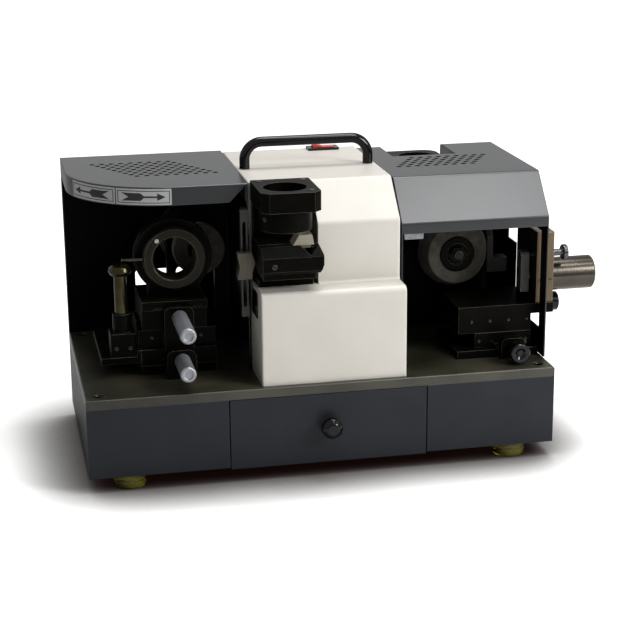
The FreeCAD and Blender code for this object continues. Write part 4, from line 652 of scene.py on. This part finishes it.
@dataclass(frozen=True)
class HoodCoat:
    """Finish of a hood: grey outside, near black on its inside walls below the lip, and painted shade on the
    rims of its roof holes.

    Sizes are in millimetres.
    """

    node: str
    lip: float
    roof_left: float
    roof_front: float
    lip_clear: float = 0.1
    skin: float = 1.0
    roof_margin: float = 6.0

    def finish(self) -> Finish:
        """Works out the block of the inside walls below the lip and the block of the roof holes' painted rim
        shade from the hood's box.

        Returns:
            The hood's finish.
        """
        low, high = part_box(self.node)
        skin, margin = self.skin * MM, self.roof_margin * MM
        walls = DarkenedBlock(
            (low.x + skin, low.y - skin, low.z - skin),
            (high.x - skin, high.y - skin / 2, high.z - (self.lip + self.lip_clear) * MM))
        # Painted shade: the rims of the flat roof's holes and openings turn near black.
        holes = DarkenedBlock(
            (low.x + self.roof_left * MM, low.y + self.roof_front * MM, low.z),
            (high.x - margin, high.y - margin, high.z + skin), shaded_rims_only=True)
        return replace(HOOD, name=f"{HOOD.name}_{self.node}", darkened_blocks=(walls, holes))


class Base(Assembly):
    """Cabinet on four feet with its deck and its drawer."""

    nodes = ("base_cabinet", "deck_plate", "deck_screws", "feet", "drawer_front", "drawer_knob",
             "drawer_tray", "drawer_runners")

    def own_finishes(self) -> dict[str, Finish]:
        """Sets the deck's screws apart from the other blackened steel."""
        return {"deck_screws": SOCKET_STEEL}


@dataclass
class SignPlates(Assembly):
    """Two printed plates with arrows that follow the left hood's rounded lip.

    Sizes are in metres. The arrow's inset is a share of the plate, its half height a share of the lip.
    """

    corner: float = 95.0 * MM
    lip: float = 17.5 * MM
    first: Pair = (71.5 * MM, 124.4 * MM)
    second: Pair = (125.6 * MM, 184.0 * MM)
    lower_margin: float = 1.0 * MM
    upper_margin: float = 1.5 * MM
    thick: float = 0.5 * MM
    ink: float = 0.12 * MM
    border: float = 0.7 * MM
    border_inset: float = 1.6 * MM
    steps: int = 25
    arrow_steps: int = 51
    arrow_inset: float = 0.11
    arrow_half: float = 0.28

    def path(self, s: np.ndarray) -> tuple[np.ndarray, np.ndarray]:
        """Gives places along the lip: straight from its right end, then round a quarter circle.

        Args:
            s: distances from the right end, in metres.

        Returns:
            Points and outward directions, each as (place, xyz).
        """
        low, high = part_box("left_hood")
        straight = high.x - low.x - self.corner
        angle = np.clip((s - straight) / self.corner, 0, None)
        x = np.where(s < straight, high.x - s, low.x + self.corner * (1 - np.sin(angle)))
        y = low.y + self.corner * (1 - np.cos(angle))
        level = np.zeros_like(s)
        return np.stack([x, y, level], axis=1), np.stack([-np.sin(angle), -np.cos(angle), level], axis=1)

    def strip(self, maker: MeshMaker, s: np.ndarray, low: np.ndarray, high: np.ndarray, lift: Pair) -> None:
        """Adds a thin strip: a four-cornered section between two heights, carried along the lip.

        Args:
            maker: shell collector.
            s: distances along the lip.
            low: lower height at each distance.
            high: upper height at each distance.
            lift: nearest and farthest distance from the lip.
        """
        point, out = self.path(s)
        up = np.array(Side.TOP.value)
        corners = [(lift[0], low), (lift[1], low), (lift[1], high), (lift[0], high)]
        maker.loft(np.stack([point + out * d + up * h[:, None] for d, h in corners], axis=1))

    def arrow(self, maker: MeshMaker, span: Pair, tip_first: bool, middle: float) -> None:
        """Adds an arrow in two mirrored halves: a small head, a thin shaft and a long notched feather.

        Each half lies between an inner and an outer line, which run straight from mark to mark.

        Args:
            maker: shell collector.
            span: distances of the plate's ends.
            tip_first: whether the tip is at the first end.
            middle: height of its centre line.
        """
        marks = np.array([0.0, 0.18, 0.181, 0.48, 0.56, 0.84, 1.0])
        share = np.union1d(marks, np.linspace(0, 1, self.arrow_steps))
        unit = self.lip * self.arrow_half
        outer = np.interp(share, marks, [0.03, 0.70, 0.16, 0.18, 0.74, 0.74, 0.80]) * unit
        inner = np.interp(share, marks, [0, 0, 0, 0, 0, 0, 0.76]) * unit
        inset = (span[1] - span[0]) * self.arrow_inset
        ends = (span[0] + inset, span[1] - inset)
        s = ends[0] + (ends[1] - ends[0]) * (share if tip_first else 1 - share)
        lift = (self.thick, self.thick + self.ink)
        self.strip(maker, s, middle + inner, middle + outer, lift)
        self.strip(maker, s, middle - outer, middle - inner, lift)

    def frame_lines(self, maker: MeshMaker, span: Pair, low: float, high: float) -> None:
        """Adds the printed border: two long lines and two short ones, set in from the plate's edges.

        Args:
            maker: shell collector.
            span: distances of the plate's ends.
            low: height of the plate's lower edge.
            high: height of its upper edge.
        """
        lift = (self.thick, self.thick + self.ink)
        along = np.linspace(span[0] + self.border_inset, span[1] - self.border_inset, self.steps)
        ones = np.ones_like(along)
        for edge in (low + self.border_inset, high - self.border_inset - self.border):
            self.strip(maker, along, edge * ones, (edge + self.border) * ones, lift)
        foot, head = (low + self.border_inset) * np.ones(2), (high - self.border_inset) * np.ones(2)
        for end in (along[0], along[-1] - self.border):
            self.strip(maker, np.array([end, end + self.border]), foot, head, lift)

    def add_pieces(self) -> None:
        """Makes the plates and what is printed on them."""
        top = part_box("left_hood")[1].z
        low, high = top - self.lip + self.lower_margin, top - self.upper_margin
        plates = MeshMaker()
        ink = MeshMaker()
        for span, tip_first in ((self.first, True), (self.second, False)):
            s = np.linspace(span[0], span[1], self.steps)
            ones = np.ones_like(s)
            self.strip(plates, s, low * ones, high * ones, (SEAT_GAP * MM, self.thick))
            self.frame_lines(ink, span, low, high)
            self.arrow(ink, span, tip_first, (low + high) / 2)
        plates.finish("direction_plates", PLATE, "machine", "satin_aluminium")
        ink.finish("direction_arrows", INK, "machine", "gloss_black")


@dataclass
class RightBay(Assembly):
    """Drill side: its hood, table and wheel, with screws, a clamping flange and a catch tab.

    Sizes are in millimetres, and shares have no unit.
    """

    nodes = ("right_hood", "right_wheel", "right_wheel_nut", "right_spindle", "right_motor",
             "right_motor_plate", "cross_table", "table_screw", "table_knob", "right_feed_slide",
             "right_bed", "right_feed_screw", "right_feed_knob", "chuck_plates", "chuck_tube",
             "latch_knob", "latch_lever", "latch_ball", "dresser_bar")

    coat: HoodCoat = HoodCoat("right_hood", lip=48.1, roof_left=6.0, roof_front=38.7)
    plates_skin: float = 0.4
    plates_shade_colour: str = "#1d1812"
    gib_x: tuple[float, ...] = (13.3, 32.1, 51.0, 69.6)
    gib_rise: float = 11.6
    gib_screw: CapScrew = CapScrew(1.4, 0.7)
    slide_spots: tuple[Pair, ...] = ((4.2, 6.4), (27.5, 5.9), (52.0, 6.4))
    slide_drop: float = 15.0
    slide_screw: CapScrew = CapScrew(1.5, 0.7)
    plate_inset: float = 3.0
    plate_rise: float = 22.8
    plate_screw: CapScrew = CapScrew(1.5, 0.3)
    flange_share: float = 0.5
    flange_rise: float = 1.4
    flange_fit: float = 1.02
    flange_top: float = 0.93
    flange_rim: float = 0.5
    flange_corners: int = 64
    tab: Slab = Slab(19.0, 12.0, 1.0, 1.0)
    tab_inset: float = 3.0
    tab_setback: float = 3.2

    def own_finishes(self) -> dict[str, Finish]:
        """Sets apart the hood, the plates with painted shade on their broad faces and bright edges, and
        single steel pieces.

        Returns:
            Finish for each such node.
        """
        low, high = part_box("chuck_plates")
        skin = self.plates_skin * MM
        # Painted shade: all faces of the plates except the front, the top and the rightmost side turn dark.
        broad = DarkenedBlock(
            (low.x - skin, low.y + skin, low.z - skin),
            (high.x - skin, high.y + skin, high.z - skin))
        plates = replace(GROUND, name="ground_plates_painted_shade", darkened_blocks=(broad,), dark_colour=self.plates_shade_colour)
        return {
            "right_hood": self.coat.finish(), "chuck_plates": plates, "right_spindle": BLACKED_TURNED,
            "right_feed_screw": GLOSS, "dresser_bar": DULL, "latch_lever": DULL, "latch_knob": POLISHED,
        }

    def add_flange(self) -> None:
        """Adds the wheel's clamping flange: a ring with a sloped rim, on the wheel and round its nut."""
        low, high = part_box("right_wheel")
        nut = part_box("right_wheel_nut")
        inner = (nut[1].x - nut[0].x) / 2 * self.flange_fit
        outer = (high.x - low.x) / 2 * self.flange_share
        rise, gap = self.flange_rise * MM, SEAT_GAP * MM
        profile = np.array([inner, inner, outer * self.flange_top, outer, outer])
        heights = np.array([gap, rise, rise, rise * self.flange_rim, gap])
        centre = ((low.x + high.x) / 2, low.y, (low.z + high.z) / 2)
        radii = profile[:, None] * np.ones(self.flange_corners)
        maker = MeshMaker()
        maker.loft(lathe_rings(centre, Side.FRONT.value, radii, heights), closed_path=True)
        maker.finish("right_wheel_flange", BLACKED, "right_grinder", "black_oxide")

    def add_tab(self) -> None:
        """Adds the pale catch tab at the lip's left end, whose upper half hides behind the lip."""
        low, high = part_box("right_hood")
        x = low.x + (self.tab_inset + self.tab.width / 2) * MM
        spot = (x, low.y + self.tab_setback * MM, high.z - self.coat.lip * MM)
        maker = MeshMaker()
        self.tab.add(maker, spot, Side.FRONT.value)
        maker.finish("lip_catch_tab", ZINC, "machine", "zinc_steel")

    def add_screws(self) -> None:
        """Sets the screws into the fronts of the table, the chuck plates and the feed slide."""
        front = Side.FRONT.value
        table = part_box("cross_table")[0]
        gibs = MeshMaker()
        for x in self.gib_x:
            self.gib_screw.add(gibs, (table.x + x * MM, table.y, table.z + self.gib_rise * MM), front)
        low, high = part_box("chuck_plates")
        inset = self.plate_inset * MM
        for x in (low.x + inset, high.x - inset):
            self.plate_screw.add(gibs, (x, low.y, low.z + self.plate_rise * MM), front)
        gibs.finish("table_gib_screws", SOCKET_STEEL, "right_table", "black_oxide")
        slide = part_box("right_feed_slide")[0]
        foot = table.z - self.slide_drop * MM
        screws = MeshMaker()
        for x, z in self.slide_spots:
            self.slide_screw.add(screws, (slide.x + x * MM, slide.y, foot + z * MM), front)
        screws.finish("feed_slide_screws", SOCKET_STEEL, "right_feed", "black_oxide")

    def add_pieces(self) -> None:
        """Adds the flange, the tab and the screws."""
        self.add_flange()
        self.add_tab()
        self.add_screws()


@dataclass
class LeftBay(Assembly):
    """End mill side: its hood, slides, post and chuck ring, with their screws.

    Sizes are in millimetres, turns in degrees.
    """

    nodes = ("left_hood", "left_wheel", "left_wheel_nut", "left_spindle", "left_motor", "left_motor_plate",
             "chuck_ring", "seat_bracket", "ring_stop_rod", "cross_slide", "cross_base", "cross_rack",
             "cross_pinion", "cross_handle", "left_feed_slide", "left_bed", "left_feed_thimble",
             "post_plate", "post_block", "stop_post")

    coat: HoodCoat = HoodCoat("left_hood", lip=17.5, roof_left=20.0, roof_front=50.0)
    ring_radius: float = 24.6
    ring_turn: float = 132.0
    ring_screw: CapScrew = CapScrew(2.1, 0.6)
    block_spots: tuple[Pair, ...] = ((-6.5, 9.0), (6.5, 9.0))
    block_screw: CapScrew = CapScrew(2.0, 0.7)
    gib_x: tuple[float, ...] = (13.0, 60.0)
    gib_rise: float = 9.8
    gib_screw: CapScrew = CapScrew(1.7, 0.6)

    def own_finishes(self) -> dict[str, Finish]:
        """Sets apart the hood, the turned pieces and the post.

        Returns:
            Finish for each such node.
        """
        return {
            "left_hood": self.coat.finish(), "chuck_ring": BLACKED_TURNED, "left_spindle": BLACKED_TURNED,
            "cross_pinion": BLACKED_TURNED, "stop_post": BLACKED_POST,
        }

    def add_pieces(self) -> None:
        """Sets the screws into the fronts of the ring, the post block and the cross base."""
        front = Side.FRONT.value
        low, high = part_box("chuck_ring")
        middle = (low + high) / 2
        turn = math.radians(self.ring_turn)
        reach = self.ring_radius * MM
        spot = (middle.x + reach * math.cos(turn), low.y, middle.z + reach * math.sin(turn))
        ring = MeshMaker()
        self.ring_screw.add(ring, spot, front)
        ring.finish("ring_screws", BRIGHT_SCREW, "chuck_holder", "bright_steel")
        low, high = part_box("post_block")
        screws = MeshMaker()
        for x, z in self.block_spots:
            self.block_screw.add(screws, ((low.x + high.x) / 2 + x * MM, low.y, low.z + z * MM), front)
        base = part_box("cross_base")[0]
        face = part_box("cross_slide")[0].y
        for x in self.gib_x:
            self.gib_screw.add(screws, (base.x + x * MM, face, base.z + self.gib_rise * MM), front)
        screws.finish("left_slide_screws", SOCKET_STEEL, "left_feed", "black_oxide")


@dataclass
class SettingFixture(Assembly):
    """Front setting fixture with its screws, the stop beside it and the rear setting block.

    Sizes are in millimetres, turns in degrees.
    """

    nodes = ("setting_head", "setting_jaw", "setting_bracket", "gauge_wedge", "stop_bar", "stop_block",
             "rear_setting_block")

    top_spots: tuple[Pair, ...] = ((-6.5, -7.0), (-8.0, -55.0), (-49.0, -7.0))
    jaw_spot: Pair = (11.0, 15.0)
    flat_screw: CapScrew = CapScrew(2.6, 0.5)
    sleeve_axis: Pair = (26.5, 29.5)
    sleeve_radius: float = 25.0
    sleeve_rise: float = 11.5
    sleeve_turn: float = 211.0
    sleeve_screw: CapScrew = CapScrew(2.4, 0.6)

    def own_finishes(self) -> dict[str, Finish]:
        """Sets the stop's bar and block apart from the other steel."""
        return {"stop_bar": DULL, "stop_block": STOP}

    def add_pieces(self) -> None:
        """Sets the screws into the top of the head, the front of the jaw and the head's round sleeve."""
        low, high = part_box("setting_head")
        screws = MeshMaker()
        for x, y in self.top_spots:
            self.flat_screw.add(screws, (high.x + x * MM, high.y + y * MM, high.z), Side.TOP.value)
        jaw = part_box("setting_jaw")[0]
        spot = (jaw.x + self.jaw_spot[0] * MM, jaw.y, jaw.z + self.jaw_spot[1] * MM)
        self.flat_screw.add(screws, spot, Side.FRONT.value)
        turn = math.radians(self.sleeve_turn)
        out = (math.cos(turn), math.sin(turn), 0.0)
        spot = (low.x + (self.sleeve_axis[0] + self.sleeve_radius * out[0]) * MM,
                low.y + (self.sleeve_axis[1] + self.sleeve_radius * out[1]) * MM,
                low.z + self.sleeve_rise * MM)
        self.sleeve_screw.add(screws, spot, out)
        screws.finish("setting_screws", SOCKET_STEEL, "machine", "black_oxide")


@dataclass
class CenterCover(Assembly):
    """White cover with its handle and switch, a blank plate on its left and the screws of all three backs.

    Sizes are in millimetres.
    """

    nodes = ("center_cover", "carry_handle", "switch_housing", "switch_rocker", "power_supply",
             "power_inlet")
    backs: ClassVar[tuple[str, ...]] = ("left_hood", "center_cover", "right_hood")

    plate: Slab = Slab(28.0, 25.0, 2.0, 0.8)
    plate_setback: float = 32.0
    plate_drop: float = 16.0
    back_inset: float = 9.0
    back_upper: float = 85.0
    back_screw: PanScrew = PanScrew(3.0)

    def add_pieces(self) -> None:
        """Makes the plate and the screws."""
        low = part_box("center_cover")[0]
        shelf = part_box("setting_bracket")[0].z
        maker = MeshMaker()
        spot = (low.x, low.y + self.plate_setback * MM, shelf - self.plate_drop * MM)
        self.plate.add(maker, spot, Side.LEFT.value)
        maker.finish("side_blank_plate", GLOSS, "machine", "gloss_black")
        screws = MeshMaker()
        inset = self.back_inset * MM
        for node in self.backs:
            low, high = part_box(node)
            for x in (low.x + inset, high.x - inset):
                for z in (low.z + inset, low.z + self.back_upper * MM):
                    self.back_screw.add(screws, (x, high.y, z), Side.BACK.value)
        screws.finish("back_panel_screws", BRIGHT_SCREW, "machine", "bright_steel")


@dataclass(frozen=True)
class StudioPaper:
    """White paper floor with a painted contact shadow, warm and dark where little open air is left above it,
    and a painted glow that turns it white far away.

    The glow's reach and the contact shadow's reach are in metres. Only the camera sees the glow.
    """

    name: str = "studio_paper"
    open_colour: str = "#f7f7f6"
    painted_shadow_colour: str = "#21120f"
    contact_reach: float = 0.075
    contact_power: float = 3.0
    contact_samples: int = 16
    glow_reach: Pair = (0.2, 0.5)
    glow_level: Pair = (0.25, 1.0)
    roughness: float = 0.9
    specular: float = 0.05

    def material(self) -> bpy.types.Material:
        """Builds the paper's material.

        Returns:
            The material.
        """
        made = bpy.data.materials.new(self.name)
        tree = fresh_tree(made)
        place = add_node(tree, "TexCoord", {}).outputs["Object"]
        far = add_node(tree, "VectorMath", {0: place}, operation="LENGTH")
        glow = add_node(tree, "MapRange", {
            "Value": far.outputs["Value"], "From Min": self.glow_reach[0], "From Max": self.glow_reach[1],
            "To Min": self.glow_level[0], "To Max": self.glow_level[1]})
        path = add_node(tree, "LightPath", {})
        seen = add_node(tree, "Mix", {
            0: path.outputs["Is Camera Ray"], 2: 0.0, 3: glow.outputs["Result"]})
        # Painted contact shadow: the paper turns warm and dark where occlusion finds the machine close above
        # it.
        near = add_node(tree, "AmbientOcclusion", {
            "Distance": self.contact_reach}, samples=self.contact_samples)
        clear = add_node(tree, "Math", {
            0: near.outputs["AO"], 1: self.contact_power}, operation="POWER")
        shadowed_tone = add_node(tree, "Mix", {
            0: clear.outputs[0], 6: linear(self.painted_shadow_colour), 7: linear(self.open_colour)},
            data_type="RGBA")
        paper = add_node(tree, "BsdfPrincipled", {
            "Base Color": shadowed_tone.outputs[2], "Roughness": self.roughness, "Specular IOR Level": self.specular,
            "Emission Color": shadowed_tone.outputs[2], "Emission Strength": seen.outputs[0]})
        add_node(tree, "OutputMaterial", {"Surface": paper.outputs["BSDF"]})
        return made


@dataclass(frozen=True)
class Lamp:
    """Soft rectangular lamp: its middle, its target and its size in metres, its power in watts."""

    name: str
    place: Point
    target: Point
    size: Pair
    power: float


@dataclass
class Studio:
    """Paper floor, white surround, soft lamps and the camera, whose place and target are in millimetres."""

    camera_place: Point = (-343.4, -1552.65, 594.7)
    camera_target: Point = (-15.17, 7.75, 119.75)
    camera_roll: float = -0.4
    lens: float = 93.743
    sensor: float = 36.0
    surround: float = 0.07
    shine: float = 0.62
    paper: StudioPaper = StudioPaper()
    floor_half: float = 12.0
    floor_steps: int = 9
    lamps: tuple[Lamp, ...] = (
        Lamp("overhead", (0.22, 0.22, 1.8), (0.05, 0.0, 0.15), (0.9, 0.9), 21.5),
        Lamp("front_soft", (0.58, -0.68, 1.75), (0.1, 0.0, 0.2), (0.56, 0.43), 8.6),
        Lamp("right_key", (0.80, -0.74, 0.65), (0.1, 0.0, 0.1), (0.4, 0.4), 11.0),
    )

    def add_lamp(self, lamp: Lamp) -> None:
        """Adds one lamp.

        Args:
            lamp: its place, size and power.
        """
        data = bpy.data.lights.new(lamp.name, "AREA")
        data.shape = "RECTANGLE"
        data.size, data.size_y = lamp.size
        data.energy = lamp.power
        aim(add_object(lamp.name, data), Vector(lamp.place), Vector(lamp.target))

    def add_floor(self) -> None:
        """Makes the floor: a square grid of points at Z = 0 under the paper's material."""
        steps = np.linspace(-self.floor_half, self.floor_half, self.floor_steps)
        x, y = np.meshgrid(steps, steps)
        points = np.stack([x, y, np.zeros_like(x)], axis=-1).reshape(-1, 3)
        number = np.arange(len(points)).reshape(x.shape)
        quads = np.stack([number[:-1, :-1], number[:-1, 1:], number[1:, 1:], number[1:, :-1]], axis=-1)
        mesh = bpy.data.meshes.new("floor")
        mesh.from_pydata(points.tolist(), [], quads.reshape(-1, 4).tolist())
        mesh.materials.append(self.paper.material())
        floor = add_object("floor", mesh)

    def add_surround(self) -> None:
        """Makes the surround: white to the camera and through clear pieces, grey in shine, dim as fill."""
        world = bpy.data.worlds.new("white_surround")
        bpy.context.scene.world = world
        tree = fresh_tree(world)
        path = add_node(tree, "LightPath", {})
        seen = add_node(tree, "Math", {
            0: path.outputs["Is Camera Ray"], 1: path.outputs["Is Transmission Ray"]}, operation="MAXIMUM")
        shiny = add_node(tree, "Mix", {
            0: path.outputs["Is Glossy Ray"], 2: self.surround, 3: self.shine})
        level = add_node(tree, "Mix", {0: seen.outputs["Value"], 2: shiny.outputs[0], 3: 1.0})
        sky = add_node(tree, "Background", {
            "Color": (1.0, 1.0, 1.0, 1.0), "Strength": level.outputs[0]})
        add_node(tree, "OutputWorld", {"Surface": sky.outputs["Background"]})

    def add_camera(self) -> None:
        """Sets the camera where the photograph was taken from."""
        data = bpy.data.cameras.new("photo_camera")
        data.lens = self.lens
        data.sensor_width = self.sensor
        camera = add_object("photo_camera", data)
        aim(camera, Vector(self.camera_place) * MM, Vector(self.camera_target) * MM, self.camera_roll)
        bpy.context.scene.camera = camera

    def build(self) -> None:
        """Sets up floor, surround, lamps, camera and the view transform."""
        self.add_floor()
        self.add_surround()
        for lamp in self.lamps:
            self.add_lamp(lamp)
        self.add_camera()
        bpy.context.scene.view_settings.view_transform = "Standard"


def main() -> None:
    """Builds the studio and every sub-assembly in order, and stops if a CAD node has no finish."""
    logging.basicConfig(level=logging.INFO, format="%(name)s %(message)s")
    Studio().build()
    assemblies = (Base(), SignPlates(), RightBay(), LeftBay(), SettingFixture(), CenterCover())
    for assembly in assemblies:
        assembly.build()
    bare = set(frame["nodes"]) - {node for assembly in assemblies for node in assembly.nodes}
    if bare:
        raise ValueError(f"nodes without a finish: {sorted(bare)}")


if __name__ == "__main__":
    main()
